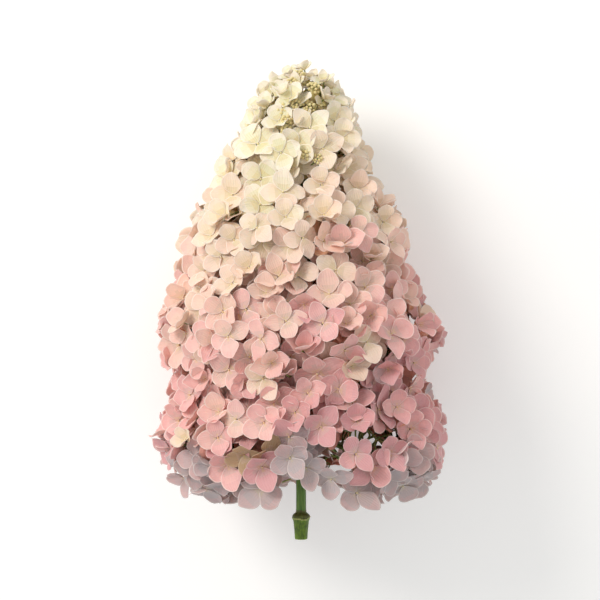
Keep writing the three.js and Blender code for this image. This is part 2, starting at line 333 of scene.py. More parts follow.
@dataclass(frozen=True)
class View:
    """The photograph's view, straight down on the head's upper side from a distance."""

    distance: float = 885.0

    @property
    def aim(self) -> Array:
        """The place in the middle of the picture."""
        return self.point(FRAME_MIDDLE, FRAME_MIDDLE)

    @property
    def eye(self) -> Array:
        """The camera's place."""
        return self.aim + np.array([0.0, 0.0, self.distance])

    def point(self, column: float, row: float, depth: float = 0.0) -> Array:
        """Gives the place that a pixel shows.

        Args:
            column: the pixel's column.
            row: its row.
            depth: the place's z.

        Returns:
            The place in the head's own frame.
        """
        flat = np.array([column - STEM_COLUMN, CUT_ROW - row, 0.0]) * PIXEL_MM
        middle = np.array([FRAME_MIDDLE - STEM_COLUMN, CUT_ROW - FRAME_MIDDLE, 0.0]) * PIXEL_MM
        toward = middle + np.array([0.0, 0.0, self.distance]) - flat
        return flat + toward * depth / self.distance


# Meshes


@dataclass(frozen=True)
class Shape:
    """A small mesh: corners, faces of three or four, each face's finish, smoothness and corners' UV."""

    corners: Array
    faces: tuple[tuple[int, ...], ...]
    finishes: tuple[str, ...]
    smooth: tuple[bool, ...]
    uv: Array

    def moved(self, turn: Array, shift: Array) -> "Shape":
        """Turns the shape about the origin and then shifts it.

        Args:
            turn: 3 by 3 matrix of the turn, with its scale if any.
            shift: the shift.

        Returns:
            The moved shape.
        """
        return replace(self, corners=self.corners @ turn.T + shift)


def shape_from(mesh: bmesh.types.BMesh, finishes: dict[int, str], rough: set[int] = frozenset()) -> Shape:
    """Reads a shape from a bmesh and frees it.

    Args:
        mesh: the bmesh, whose faces' material_index says their finish.
        finishes: name of the finish of each material_index.
        rough: material_index values whose faces are shaded flat.

    Returns:
        The shape.
    """
    mesh.verts.index_update()
    layer = mesh.loops.layers.uv.verify()
    corners = np.array([vert.co for vert in mesh.verts])
    faces = tuple(tuple(loop.vert.index for loop in face.loops) for face in mesh.faces)
    kinds = tuple(finishes[face.material_index] for face in mesh.faces)
    smooth = tuple(face.material_index not in rough for face in mesh.faces)
    uv = np.array([loop[layer].uv for face in mesh.faces for loop in face.loops])
    mesh.free()
    return Shape(corners, faces, kinds, smooth, uv)


@dataclass
class JoinedPiece:
    """Many small shapes joined into one mesh object."""

    name: str
    corners: list[Array] = field(default_factory=list)
    faces: list[Array] = field(default_factory=list)
    sizes: list[Array] = field(default_factory=list)
    finishes: list[str] = field(default_factory=list)
    smooth: list[bool] = field(default_factory=list)
    uv: list[Array] = field(default_factory=list)
    count: int = 0

    def add(self, shape: Shape, tints: Sequence[str] = ()) -> None:
        """Adds one shape.

        Args:
            shape: the shape, in the shared frame's metres.
            tints: for a floret, the start of each sepal's finishes' names, in place of its number.
        """
        self.corners.append(shape.corners)
        self.faces.append(np.concatenate([np.array(face) for face in shape.faces]) + self.count)
        self.sizes.append(np.array([len(face) for face in shape.faces]))
        self.finishes.extend(tints[int(kind[0])] + kind[1:] if tints else kind for kind in shape.finishes)
        self.smooth.extend(shape.smooth)
        self.uv.append(shape.uv)
        self.count += len(shape.corners)

    def build(self, materials: dict[str, bpy.types.Material]) -> bpy.types.Object:
        """Makes the object.

        Args:
            materials: material of each finish.

        Returns:
            The object, linked to the scene.
        """
        mesh = bpy.data.meshes.new(self.name)
        corners, loops = np.vstack(self.corners), np.concatenate(self.faces)
        sizes = np.concatenate(self.sizes)
        starts = np.concatenate([[0], np.cumsum(sizes)[:-1]])
        mesh.vertices.add(len(corners))
        mesh.vertices.foreach_set("co", corners.astype(np.float32).ravel())
        mesh.loops.add(len(loops))
        mesh.loops.foreach_set("vertex_index", loops.astype(np.int32))
        mesh.polygons.add(len(sizes))
        mesh.polygons.foreach_set("loop_start", starts.astype(np.int32))
        used = sorted(set(self.finishes))
        slots = {kind: index for index, kind in enumerate(used)}
        for kind in used:
            mesh.materials.append(materials[kind])
        mesh.polygons.foreach_set("material_index", np.array([slots[k] for k in self.finishes], np.int32))
        mesh.polygons.foreach_set("use_smooth", np.array(self.smooth, bool))
        mesh.uv_layers.new(name="UVMap").data.foreach_set("uv", np.vstack(self.uv).astype(np.float32).ravel())
        mesh.validate()
        mesh.update(calc_edges=True)
        made = bpy.data.objects.new(self.name, mesh)
        bpy.context.scene.collection.objects.link(made)
        return made


@dataclass(frozen=True)
class Limb:
    """A tapering round limb along a smooth path. aside is a direction that no limb starts along."""

    path: Array
    radii: Sequence[float]
    sides: int
    finish: str
    aside: tuple[float, float, float] = (0.31, 0.17, 0.94)

    def shape(self) -> Shape:
        """Builds the limb as a closed tube.

        Returns:
            The limb, with UV running round it and along it.
        """
        mesh = bmesh.new()
        layer = mesh.loops.layers.uv.verify()
        tangents = unit(np.gradient(self.path, axis=0))
        side = unit(np.cross(tangents[0], self.aside))
        rings = []
        for point, tangent, radius in zip(self.path, tangents, self.radii):
            side = unit(side - tangent * float(side @ tangent))
            up = np.cross(tangent, side)
            ring = []
            for k in range(self.sides):
                angle = 2 * math.pi * k / self.sides
                out = math.cos(angle) * side + math.sin(angle) * up
                ring.append(mesh.verts.new(point + radius * out))
            rings.append(ring)
        for j, (low, high) in enumerate(zip(rings, rings[1:])):
            for k in range(self.sides):
                n = (k + 1) % self.sides
                face = mesh.faces.new((low[k], low[n], high[n], high[k]))
                for loop, place in zip(face.loops, ((k, j), (k + 1, j), (k + 1, j + 1), (k, j + 1))):
                    loop[layer].uv = (place[0] / self.sides, place[1] / len(rings))
        mesh.faces.new(list(reversed(rings[0])))
        mesh.faces.new(rings[-1])
        return shape_from(mesh, {0: self.finish})


def bend(start: Array, middle: Array, end: Array, count: int) -> Array:
    """Samples a curve with one bend.

    Args:
        start: its first point.
        middle: the point that pulls it aside.
        end: its last point.
        count: how many points to give.

    Returns:
        The points, one per row.
    """
    t = np.linspace(0.0, 1.0, count)[:, None]
    return start * (1 - t) ** 2 + 2 * middle * t * (1 - t) + end * t**2


# Florets


class Bloom(Enum):
    """How far open a floret is."""

    OPEN = "open"
    SAUCER = "saucer"
    CUP = "cup"
    BELL = "bell"
    CURLED = "curled back"
    YOUNG = "young"


@dataclass(frozen=True)
class SepalForm:
    """One sepal: sizes in millimetres and angles in degrees.

    rise is the angle at its foot, curl how far its tip bends up, cup how far its sides stand up, wave
    the height of its rim's ripple, point how far its tip runs out, crease the depth of its midrib and
    skew how far its tip leans aside.
    """

    length: float = 13.9
    width: float = 13.0
    rise: float = 10.0
    curl: float = 1.0
    cup: float = 0.8
    wave: float = 0.6
    point: float = 0.3
    crease: float = 0.5
    skew: float = 0.0


FORMS: dict[Bloom, tuple[SepalForm, SepalForm]] = {
    Bloom.OPEN: (SepalForm(rise=14, curl=1.0, cup=1.0), SepalForm(rise=5, curl=-0.4, cup=1.2)),
    Bloom.SAUCER: (SepalForm(rise=29, curl=1.4, cup=1.5), SepalForm(rise=17, curl=1.0, cup=1.3)),
    Bloom.CUP: (SepalForm(rise=47, curl=1.0, cup=1.8), SepalForm(rise=31, curl=1.6, cup=1.5)),
    Bloom.BELL: (SepalForm(rise=62, curl=0.4, cup=2.1), SepalForm(rise=44, curl=1.2, cup=1.8)),
    Bloom.CURLED: (SepalForm(rise=16, curl=-1.8, cup=0.8), SepalForm(rise=-6, curl=-2.4, cup=1.0)),
    Bloom.YOUNG: (
        SepalForm(length=11.6, width=10.4, rise=44, curl=0.6, cup=1.6),
        SepalForm(length=12.2, width=10.8, rise=26, curl=1.0, cup=1.4),
    ),
}


# A sepal's zones from its foot outwards, whose foot and heart are partly painted shade and whose tip is
# partly a painted highlight, then the bright border of its face and its cut edge, a painted highlight
ZONES = ("foot", "heart", "blade", "tip", "rim", "edge")
# Where one zone gives way to the next, in shares of the sepal's length, and how far that varies
ZONE_STOPS = (0.2, 0.42, 0.68)
ZONE_SPREAD = 0.05
# A sepal's width at its foot, in shares of its full width, and the share of its length where it is full
FOOT_WIDTH = 0.74
FULL_FROM = 0.45
# How much a point narrows the tip, and from which share of the length
POINT_NARROWS = 0.12
POINT_FROM = 0.55
# A sepal's outline is uneven by these shares, in so many waves round it
UNEVEN_WAVES = ((0.035, 2), (0.035, 3), (0.022, 5))
# How much sepals of one floret differ: in length, in width, in their points, leans and turns
SEPAL_LENGTHS = (0.86, 1.07)
SEPAL_WIDTHS = (0.86, 1.08)
SEPAL_POINTS = (-0.4, 1.5)
SEPAL_SKEW = 1.2
SEPAL_TURN = 0.18
# The outer pair of sepals lies this much lower than the inner pair
PAIR_DROP = 0.4
# A cluster's rings of buds: how many, and their slant from its middle in radians
BUD_RINGS = ((1, 0.0), (5, 0.72), (9, 1.3))
# How far the buds stand from the rings' middle, their radius, and how deep that middle is sunk
BUD_REACH = (2.7, 3.9)
BUD_RADIUS = (0.8, 1.2)
BUD_SINK = 2.0


@dataclass(frozen=True)
class FloretKit:
    """Makes the master florets that the head is joined from.

    thickness is a sepal's, foot how far from the floret's middle it starts, across and along the squares of
    its grid, border the width of its rim, which is coloured as a painted highlight, and border_rise the share
    of that by which the rim stands up, rise_spread the degrees by which its rise varies, and bead the radius
    of the floret's middle.
    """

    thickness: float = 0.2
    foot: float = 0.6
    across: int = 5
    along: int = 6
    border: float = 0.5
    border_rise: float = 0.35
    rise_spread: float = 14.0
    bead: float = 0.75

    def sepal(self, form: SepalForm, number: int, random: np.random.Generator) -> Shape:
        """Builds one sepal that points along +y from the origin, its inner face up.

        Args:
            form: its form.
            number: its number in the floret, put before its finishes' names.
            random: the source of its small differences.

        Returns:
            The sepal as a closed thin solid.
        """
        mesh = bmesh.new()
        bmesh.ops.create_grid(
            mesh, x_segments=self.across, y_segments=self.along, size=1.0, calc_uvs=True
        )
        layer = mesh.loops.layers.uv.verify()
        for face in mesh.faces:
            for loop in face.loops:
                loop[layer].uv = ((loop.vert.co.x + 1) / 2, (loop.vert.co.y + 1) / 2)
        self.outline(mesh, form, random)
        # The inset ring is the rim, whose pale colour is a painted highlight
        if self.border:
            ring = bmesh.ops.inset_region(
                mesh, faces=mesh.faces[:], use_boundary=True, use_even_offset=True, thickness=self.border
            )
            for face in ring["faces"]:
                face.material_index = ZONES.index("rim")
        self.tint_zones(mesh, form, random)
        self.curve(mesh, form, random)
        first = set(mesh.verts)
        bmesh.ops.solidify(mesh, geom=mesh.faces[:], thickness=self.thickness)
        for face in mesh.faces:
            if len({vert in first for vert in face.verts}) == 2:
                face.material_index = ZONES.index("edge")
        bmesh.ops.recalc_face_normals(mesh, faces=mesh.faces[:])
        # The cut edge takes the rim's colour, a painted highlight
        names = {index: f"{number}_{'rim' if zone == 'edge' else zone}" for index, zone in enumerate(ZONES)}
        return shape_from(mesh, names, rough={ZONES.index("edge")})

    def outline(self, mesh: bmesh.types.BMesh, form: SepalForm, random: np.random.Generator) -> None:
        """Draws a square grid out to the sepal's flat outline, which is never quite even.

        Args:
            mesh: the grid, from -1 to 1.
            form: the sepal's form.
            random: the source of its unevenness.
        """
        phases = random.uniform(0, 2 * math.pi, 3)
        for vert in mesh.verts:
            x, y, _ = vert.co
            disc_x, disc_y = x * math.sqrt(1 - y * y / 2), y * math.sqrt(1 - x * x / 2)
            angle, far = math.atan2(disc_y, disc_x), disc_x**2 + disc_y**2
            uneven = 1 + far * sum(
                part * math.cos(waves * angle + phase) for (part, waves), phase in zip(UNEVEN_WAVES, phases)
            )
            disc_x, disc_y = disc_x * uneven, disc_y * uneven
            share = (disc_y + 1) / 2
            waist = FOOT_WIDTH + (1 - FOOT_WIDTH) * float(smoothstep(share, 0.0, FULL_FROM))
            narrow = 1 - POINT_NARROWS * form.point * float(smoothstep(share, POINT_FROM, 1.0))
            tip = form.point * max(0.0, disc_y) ** 5 * (1 - min(1.0, abs(disc_x)))
            vert.co.x = disc_x * waist * narrow * form.width / 2 + form.skew * share**2
            vert.co.y = self.foot + share * (form.length - self.foot) + tip
            vert.co.z = 0.0

    def tint_zones(self, mesh: bmesh.types.BMesh, form: SepalForm, random: np.random.Generator) -> None:
        """Deals the flat sepal's faces their zones, from the pale foot to the full tint at the tip.

        Args:
            mesh: the flat sepal.
            form: its form.
            random: the source of the zones' places.
        """
        stops = np.array(ZONE_STOPS) + random.uniform(-ZONE_SPREAD, ZONE_SPREAD)
        for face in mesh.faces:
            if face.material_index == 0:
                share = face.calc_center_median().length / form.length
                face.material_index = int(np.searchsorted(stops, share))

    def curve(self, mesh: bmesh.types.BMesh, form: SepalForm, random: np.random.Generator) -> None:
        """Curls, cups, creases and ripples the flat sepal, and raises it from its foot.

        Args:
            mesh: the flat sepal.
            form: its form.
            random: the source of its small differences.
        """
        phase, twist = random.uniform(0, 2 * math.pi), random.uniform(-1.0, 1.0)
        rise = math.radians(form.rise + random.uniform(-self.rise_spread, self.rise_spread))
        for vert in mesh.verts:
            x, y, _ = vert.co
            out, side = y / form.length, 2 * x / form.width
            lift = form.curl * out**2 + form.cup * side**2 * (0.4 + 0.6 * out)
            lift -= form.crease * math.exp(-((side / 0.2) ** 2)) * math.sin(math.pi * min(out, 1.0))
            ripple = math.sin(3.3 * math.atan2(side, out - 0.5) + phase)
            lift += form.wave * ripple * (side**2 + out**4) + twist * side * out
            if vert.is_boundary and out > 0.15:
                lift += self.border * self.border_rise
            vert.co.y = y * math.cos(rise) - lift * math.sin(rise)
            vert.co.z = y * math.sin(rise) + lift * math.cos(rise)

    def floret(self, bloom: Bloom, seed: int) -> Shape:
        """Builds one floret at the origin, facing +z.

        Args:
            bloom: how far open it is.
            seed: picks its small differences.

        Returns:
            Four sepals, the outer pair under the inner pair, and the bead in the middle.
        """
        random = np.random.default_rng(seed)
        parts = []
        for k in range(4):
            inner, outer = FORMS[bloom]
            form = outer if k % 2 else inner
            size = random.uniform(*SEPAL_LENGTHS)
            form = replace(
                form,
                length=form.length * size,
                width=form.width * size * random.uniform(*SEPAL_WIDTHS),
                point=random.uniform(*SEPAL_POINTS),
                skew=random.uniform(-SEPAL_SKEW, SEPAL_SKEW),
            )
            turn = about(FRONTWARDS, math.pi / 2 * k + random.uniform(-SEPAL_TURN, SEPAL_TURN))
            drop = np.array([0.0, 0.0, -PAIR_DROP if k % 2 else 0.0])
            parts.append(self.sepal(form, k, random).moved(turn, drop))
        parts.append(self.centre())
        return joined(parts)

    def centre(self) -> Shape:
        """Builds the small bead in a floret's middle.

        Returns:
            The bead, a little flattened and raised.
        """
        mesh = bmesh.new()
        bmesh.ops.create_uvsphere(mesh, u_segments=7, v_segments=5, radius=self.bead, calc_uvs=True)
        for vert in mesh.verts:
            vert.co.z = vert.co.z * 0.85 + 0.25
        return shape_from(mesh, {0: "0_eye"})

    def buds(self, seed: int) -> Shape:
        """Builds a tight cluster of unopened buds at the origin, facing +z.

        Args:
            seed: picks its small differences.

        Returns:
            The cluster.
        """
        random = np.random.default_rng(seed)
        mesh = bmesh.new()
        for k, (count, slant) in enumerate(ring for ring in BUD_RINGS for _ in range(ring[0])):
            turn = 2 * math.pi * k / count + random.uniform(-0.25, 0.25)
            far = random.uniform(*BUD_REACH)
            place = Matrix.Translation(
                (
                    far * math.sin(slant) * math.cos(turn),
                    far * math.sin(slant) * math.sin(turn),
                    far * math.cos(slant) - BUD_SINK,
                )
            )
            size = random.uniform(*BUD_RADIUS)
            bmesh.ops.create_uvsphere(
                mesh, u_segments=7, v_segments=5, radius=size, matrix=place, calc_uvs=True
            )
        return shape_from(mesh, {0: "bud"})


def joined(parts: Sequence[Shape]) -> Shape:
    """Joins shapes into one.

    Args:
        parts: the shapes.

    Returns:
        One shape of all of them.
    """
    faces: list[tuple[int, ...]] = []
    count = 0
    for part in parts:
        faces.extend(tuple(index + count for index in face) for face in part.faces)
        count += len(part.corners)
    return Shape(
        np.vstack([part.corners for part in parts]),
        tuple(faces),
        tuple(kind for part in parts for kind in part.finishes),
        tuple(flag for part in parts for flag in part.smooth),
        np.vstack([part.uv for part in parts]),
    )


# The growing rule


@dataclass(frozen=True)
class Whorl:
    """Side branches that leave the stem together, and where their masses are centred."""

    count: int
    leaves: float
    centre: float
    turn: float


@dataclass
class Mass:
    """One mass of florets: its side branch, its twig's start and direction, and its florets."""

    name: str
    tier: int
    start: Array
    ahead: Array
    anchor: Array
    branch: Array | None = None
    florets: list["Floret"] = field(default_factory=list)
    buds: list["BudCluster"] = field(default_factory=list)

    @property
    def node(self) -> str:
        """The name of the mass's CAD node."""
        return f"florets_{self.name}"


@dataclass(frozen=True)
class Floret:
    """Where one floret stands, which way it faces and how it looks."""

    centre: Array
    facing: Array
    turn: float
    size: float
    bloom: Bloom
    seed: int
    tints: tuple[int, ...]
    inner: bool = False

    def placed(self, master: Shape) -> Shape:
        """Puts a master floret in place.

        Args:
            master: the master that it is a copy of.

        Returns:
            The floret in the head's own frame.
        """
        turn = turning(FRONTWARDS, self.facing) @ about(FRONTWARDS, self.turn) * self.size
        return master.moved(turn, self.centre)


@dataclass(frozen=True)
class BudCluster:
    """Where one cluster of buds stands, which way it faces and its size."""

    centre: Array
    facing: Array
    size: float
    seed: int


# How far the sepals of a full-grown and of a young master floret reach, seen from in front
FULL_REACH = 12.3
YOUNG_REACH = 10.6
# The middle of a spot that stays in sight and four places round it, in half widths
CROSS = ((0, 0), (1, 0), (-1, 0), (0, 1), (0, -1))


@dataclass(frozen=True)
class Seen:
    """A floret of the side that lies uppermost, as the photograph shows it.

    column and row are the pixel of its middle and reach its sepals' length in pixels. right and up say how
    many degrees it faces to the right and towards the tip, turn how far its sepals are turned, and sunk how
    many millimetres deeper than its neighbours it stands.
    """

    column: int
    row: int
    right: float
    up: float
    turn: float
    reach: float
    bloom: Bloom
    tint: int
    sunk: float = 0.0

    @property
    def facing(self) -> Array:
        """The direction that it faces."""
        right, up = math.radians(self.right), math.radians(self.up)
        return np.array([math.sin(right) * math.cos(up), math.sin(up), math.cos(right) * math.cos(up)])

    def size(self, view: View, depth: float) -> float:
        """Gives its size beside a master floret's.

        Args:
            view: the photograph's view.
            depth: its z.

        Returns:
            The size.
        """
        shown = YOUNG_REACH if self.bloom is Bloom.YOUNG else FULL_REACH
        return self.reach * PIXEL_MM * (1 - depth / view.distance) / shown


@dataclass(frozen=True)
class Opening:
    """Where the photograph shows a gap between the florets: its pixel and its half width in pixels.

    Stalks pass room millimetres outside it. They are bent fully within bent_within of its sight line, and
    not at all from straight_from.
    """

    column: int
    row: int
    half: float
    room: float = 0.9
    bent_within: float = 4.0
    straight_from: float = 9.0

    def sights(self, view: View) -> list[tuple[Vector, Vector]]:
        """Gives the sight lines through it.

        Args:
            view: the photograph's view.

        Returns:
            Where each starts and which way it goes, the one through the middle first.
        """
        ends = [view.point(self.column + self.half * x, self.row + self.half * y) for x, y in CROSS]
        return [(Vector(view.eye), Vector(unit(end - view.eye))) for end in ends]

    def parted(self, view: View, points: Array) -> Array:
        """Moves points aside from the sight line through the opening, and leaves those far from it.

        Args:
            view: the photograph's view.
            points: the points, one per row.

        Returns:
            The moved points.
        """
        eye, way = (np.array(part) for part in self.sights(view)[0])
        off = points - eye
        off = off - np.outer(off @ way, way)
        far = np.linalg.norm(off, axis=1, keepdims=True)
        pushed = np.hypot(far, self.half * PIXEL_MM + self.room) - far
        return points + unit(off) * pushed * smoothstep(far, self.straight_from, self.bent_within)


@dataclass(frozen=True)
class Layer:
    """One layer of florets: pitch between them, depth under the outline, and most lean in degrees.

    room is how far it keeps from the florets placed one by one, and deeper how many tints its colours run on.
    """

    pitch: float
    depth: tuple[float, float]
    lean: float
    seed: int
    most_cuts: int
    room: float = 0.0
    deeper: float = 0.0
    inner: bool = False


# Shares of each bloom among the florets of the layers, and the share of young ones at the very tip
BLOOM_SHARES = {Bloom.OPEN: 0.24, Bloom.SAUCER: 0.36, Bloom.CUP: 0.22, Bloom.BELL: 0.08, Bloom.CURLED: 0.10}
YOUNG_SHARE = 0.8


def tint_name(index: int) -> str:
    """Gives the name of a tint.

    Args:
        index: its number.

    Returns:
        The start of its finishes' names.
    """
    return f"tint_{index:02d}"


@dataclass
class Head:
    """The whole flower head: the stem, its branches, and the florets grown from them by one seeded rule.

    hidden_from and hidden_along say where the hidden clusters of buds stand, bud_depth how deep under the
    outline, bud_middle and bud_top how high their middles and tops are, bud_half how wide a spot of each
    stays in sight, and bud_room how far florets keep from them. front_depths is how deep the florets placed
    one by one may stand, front_turn and front_lean how far they may turn and lean, and front_cuts how many
    faces they may cut through. Florets get smaller and shallower over young_span, towards the tip, and face
    more outwards than the outline does over drooping_span, at the rim. Under near_table they face the table.
    sight_cost makes a floret that closes an opening within sight_within a bad choice, and trim one that
    stands more than beyond_free out of the outline. Cuts are looked for up to neighbour_within.
    """

    lying: Lying
    outline: Outline
    whorls: Sequence[Whorl]
    layers: Sequence[Layer]
    kit: FloretKit
    inner_kit: FloretKit
    stem_taper: Sequence[tuple[float, float]]
    bud_spots: Sequence[tuple[float, float]]
    front: Sequence[Seen]
    openings: Sequence[Opening]
    view: View
    hidden_buds: int = 12
    hidden_from: float = 238.0
    hidden_along: float = 50.0
    bud_seed: int = 8
    bud_kinds: int = 3
    bud_depth: float = 5.5
    bud_sizes: tuple[float, float] = (0.85, 1.1)
    bud_middle: float = 3.0
    bud_top: float = 2.0
    bud_half: float = 2.4
    bud_room: float = 9.5
    branch_reach: float = 0.5
    branch_rise: float = 0.3
    branch_points: int = 13
    anchor_depth: float = 6.0
    tip_anchor: float = 284.0
    gap: float = 0.3
    variants: int = 4
    tries: int = 8
    ring_pitch: float = 0.93
    jitter_along: float = 0.4
    jitter_round: float = 0.25
    front_seed: int = 31
    front_tries: int = 13
    front_depths: tuple[float, float] = (2.0, 8.5)
    front_turn: float = 8.0
    front_lean: float = 0.16
    front_cuts: int = 10000
    young_span: tuple[float, float] = (225.0, 292.0)
    young_smaller: float = 0.24
    young_shallower: float = 0.25
    drooping_span: tuple[float, float] = (45.0, 85.0)
    drooping_turn: float = 0.6
    sizes: tuple[float, float] = (0.9, 1.08)
    tipwards: float = 0.12
    near_table: float = 8.0
    lowest: float = 1.2
    sight_within: float = 18.0
    sight_cost: int = 60
    neighbour_within: float = 26.0
    beyond_free: float = 1.5
    trim: float = 4.0
    masters: dict[tuple[Bloom, int, bool], Shape] = field(default_factory=dict)
    masses: list[Mass] = field(default_factory=list)
    clusters: list[BudCluster] = field(default_factory=list)
    front_centres: list[Array] = field(default_factory=list)
    sights: list[list[tuple[Vector, Vector, float]]] = field(default_factory=list)

    def grow(self) -> None:
        """Grows the branches and then the florets."""
        for bloom in Bloom:
            for seed in range(self.variants):
                self.masters[bloom, seed, False] = self.kit.floret(bloom, 17 * seed + 5)
                self.masters[bloom, seed, True] = self.inner_kit.floret(bloom, 17 * seed + 5)
        self.masses = list(self.plan_masses())
        self.clusters = list(self.place_buds())
        self.sights = list(self.clear_sights())
        for cluster in self.clusters:
            self.nearest(cluster.centre).buds.append(cluster)
        standing: list[tuple[Array, BVHTree]] = []
        for floret in self.set_front(standing):
            self.nearest(floret.centre).florets.append(floret)
        for layer in self.layers:
            for floret in self.grow_layer(layer, standing):
                self.nearest(floret.centre).florets.append(floret)

    def nearest(self, centre: Array) -> Mass:
        """Finds the mass whose anchor is nearest to a place."""
        return min(self.masses, key=lambda mass: float(np.linalg.norm(centre - mass.anchor)))

    def place_buds(self) -> Iterator[BudCluster]:
        """Places the clusters of buds near the tip: those seen in front, then others round the back."""
        random = np.random.default_rng(self.bud_seed)
        spots = [(x, distance, 1.0) for x, distance in self.bud_spots]
        for i in range(self.hidden_buds):
            distance = self.hidden_from + self.hidden_along * (i + 0.5) / self.hidden_buds
            reach = self.outline_radius(distance)
            angle = random.uniform(0, math.pi)
            spots.append((reach * math.cos(angle), distance, -1.0))
        for seed, (x, distance, side) in enumerate(spots):
            reach = self.outline_radius(distance) - self.bud_depth
            across = float(np.clip(x, -reach, reach))
            depth = math.sqrt(max(reach**2 - across**2, 0.0)) * side
            facing = unit(np.array([across, reach * 0.5 + 2.0, depth]))
            size = random.uniform(*self.bud_sizes)
            yield BudCluster(np.array([across, distance, depth]), facing, size, seed % self.bud_kinds)

    def stem_radius(self, distance: float) -> float:
        """Gives the stem's radius at a distance from the cut end."""
        return float(np.interp(distance, [s for _, s in self.stem_taper], [r for r, _ in self.stem_taper]))

    def outline_radius(self, distance: float) -> float:
        """Gives the outline's radius at a distance from the cut end, above the drooping rim."""
        stations = self.outline.stations[2:]
        return float(np.interp(distance, [s for _, s, _ in stations], [r for r, _, _ in stations]))

    def outline_offset(self, distance: float) -> float:
        """Gives how far the outline's middle lies to the right at a distance from the cut end."""
        stations = self.outline.stations[2:]
        return float(np.interp(distance, [s for _, s, _ in stations], [off for _, _, off in stations]))

    def beyond(self, corners: Array) -> float:
        """Gives how far the farthest of some places lies outside the outline.

        Args:
            corners: the places, one per row.

        Returns:
            The distance in millimetres, or 0 where all are inside.
        """
        radii, distances, offsets = (np.array(column) for column in zip(*self.outline.stations[2:]))
        step, tip_flatness = 2.0, 0.35
        along = corners[:, 1]
        radius = np.interp(along, distances, radii)
        rise = np.interp(along + step, distances, radii) - np.interp(along - step, distances, radii)
        slope = rise / (2 * step)
        out = np.hypot(corners[:, 0] - np.interp(along, distances, offsets), corners[:, 2])
        outside = (out - radius) / np.sqrt(1 + slope**2)
        past = along > distances[-1] - step
        outside[past] = np.hypot(out[past] * tip_flatness, along[past] - distances[-1])
        return float(max(outside.max(), distances[0] - along.min() - step, 0.0))

    def plan_masses(self) -> Iterator[Mass]:
        """Plans the side branches and the masses that they carry.

        Yields:
            The mass at the tip, and then one for each side branch.
        """
        top = np.array([0.0, self.stem_taper[-1][1], 0.0])
        anchor = np.array([0.0, self.tip_anchor, 0.0])
        yield Mass("tip", len(self.whorls) + 1, top + TIPWARDS * self.gap, TIPWARDS, anchor)
        for level, whorl in enumerate(self.whorls):
            radius = self.outline_radius(whorl.centre)
            reach = radius * self.branch_reach
            for i in range(whorl.count):
                angle = math.radians(whorl.turn + 90 + 360 * i / whorl.count)
                root = around(self.stem_radius(whorl.leaves) + self.gap, whorl.leaves, angle)
                hub_distance = whorl.leaves + (whorl.centre - whorl.leaves) * (self.branch_rise + 0.2)
                hub = around(reach, hub_distance, angle)
                elbow = around(reach * 0.5, whorl.leaves + radius * self.branch_rise * 0.25, angle)
                branch = bend(root, elbow, hub, self.branch_points)
                ahead = unit(hub - elbow)
                anchor = around(radius - self.anchor_depth, whorl.centre, angle)
                start = hub + ahead * self.gap
                yield Mass(f"{level + 1}_{i + 1}", level + 1, start, ahead, anchor, branch)

    def set_front(self, standing: list[tuple[Array, BVHTree]]) -> Iterator[Floret]:
        """Sets the florets that are listed one by one, each at the depth where it cuts least through the
        others.

        Args:
            standing: the florets that already stand, which grows.

        Yields:
            The florets.
        """
        random = np.random.default_rng(self.front_seed)
        first_depth, roundings = 40.0, 4
        for seen in self.front:
            tints = (seen.tint,) * 4
            if seen.tint < LATE_CREAM:
                # They take part of the painted shade to the right and the painted light to the left
                middle = seen.tint + redder(self.view.point(seen.column, seen.row)[0]) * FRONT_REDDER
                sepals = middle + random.normal(size=4) * FRONT_SPREAD
                tints = tuple(int(round(value)) for value in np.clip(sepals, 0, LATE_CREAM - 1))
            ways = []
            for _ in range(self.front_tries):
                under, depth = random.uniform(*self.front_depths) + seen.sunk, first_depth
                for _ in range(roundings):
                    centre = self.view.point(seen.column, seen.row, depth)
                    reach = self.outline_radius(centre[1]) - under
                    offset = self.outline_offset(centre[1])
                    depth = math.sqrt(max(reach**2 - (centre[0] - offset) ** 2, 0.0))
                centre = self.view.point(seen.column, seen.row, depth)
                centre[0] = np.clip(centre[0], offset - reach + 1.0, offset + reach - 1.0)
                turn = math.radians(seen.turn + random.uniform(-self.front_turn, self.front_turn))
                size, seed = seen.size(self.view, depth), int(random.integers(self.variants))
                facing = unit(seen.facing + random.normal(size=3) * self.front_lean)
                ways.append(Floret(centre, facing, turn, size, seen.bloom, seed, tints))
            kept = self.best_way(ways, standing, self.front_cuts)
            assert kept is not None
            self.front_centres.append(kept.centre)
            yield kept

    def grow_layer(self, layer: Layer, standing: list[tuple[Array, BVHTree]]) -> Iterator[Floret]:
        """Spreads one layer of florets evenly over the outline, in rings.

        Each floret is tried in several ways, and the way that cuts least through its neighbours is kept.

        Args:
            layer: the layer.
            standing: the florets that already stand, which grows.

        Yields:
            The florets.
        """
        random = np.random.default_rng(layer.seed)
        rings = round(self.outline.total / (layer.pitch * self.ring_pitch))
        for ring in range(rings):
            share = (ring + 0.5) / rings
            radius = max(self.outline.at(share).radius - layer.depth[0], 0.0)
            count = max(1, round(2 * math.pi * radius / layer.pitch))
            start = random.uniform()
            for i in range(count):
                ways = []
                for _ in range(self.tries):
                    jitter = random.uniform(-self.jitter_along, self.jitter_along) / rings
                    point = self.outline.at(float(np.clip(share + jitter, 0.01, 0.99)))
                    aside = random.uniform(-self.jitter_round, self.jitter_round)
                    angle = 2 * math.pi * (i + start + aside) / count
                    ways.append(self.one_way(layer, point, angle, random))
                ways = [way for way in ways if self.has_room(way, layer.room)]
                kept = self.best_way(ways, standing, layer.most_cuts)
                if kept is not None:
                    yield kept

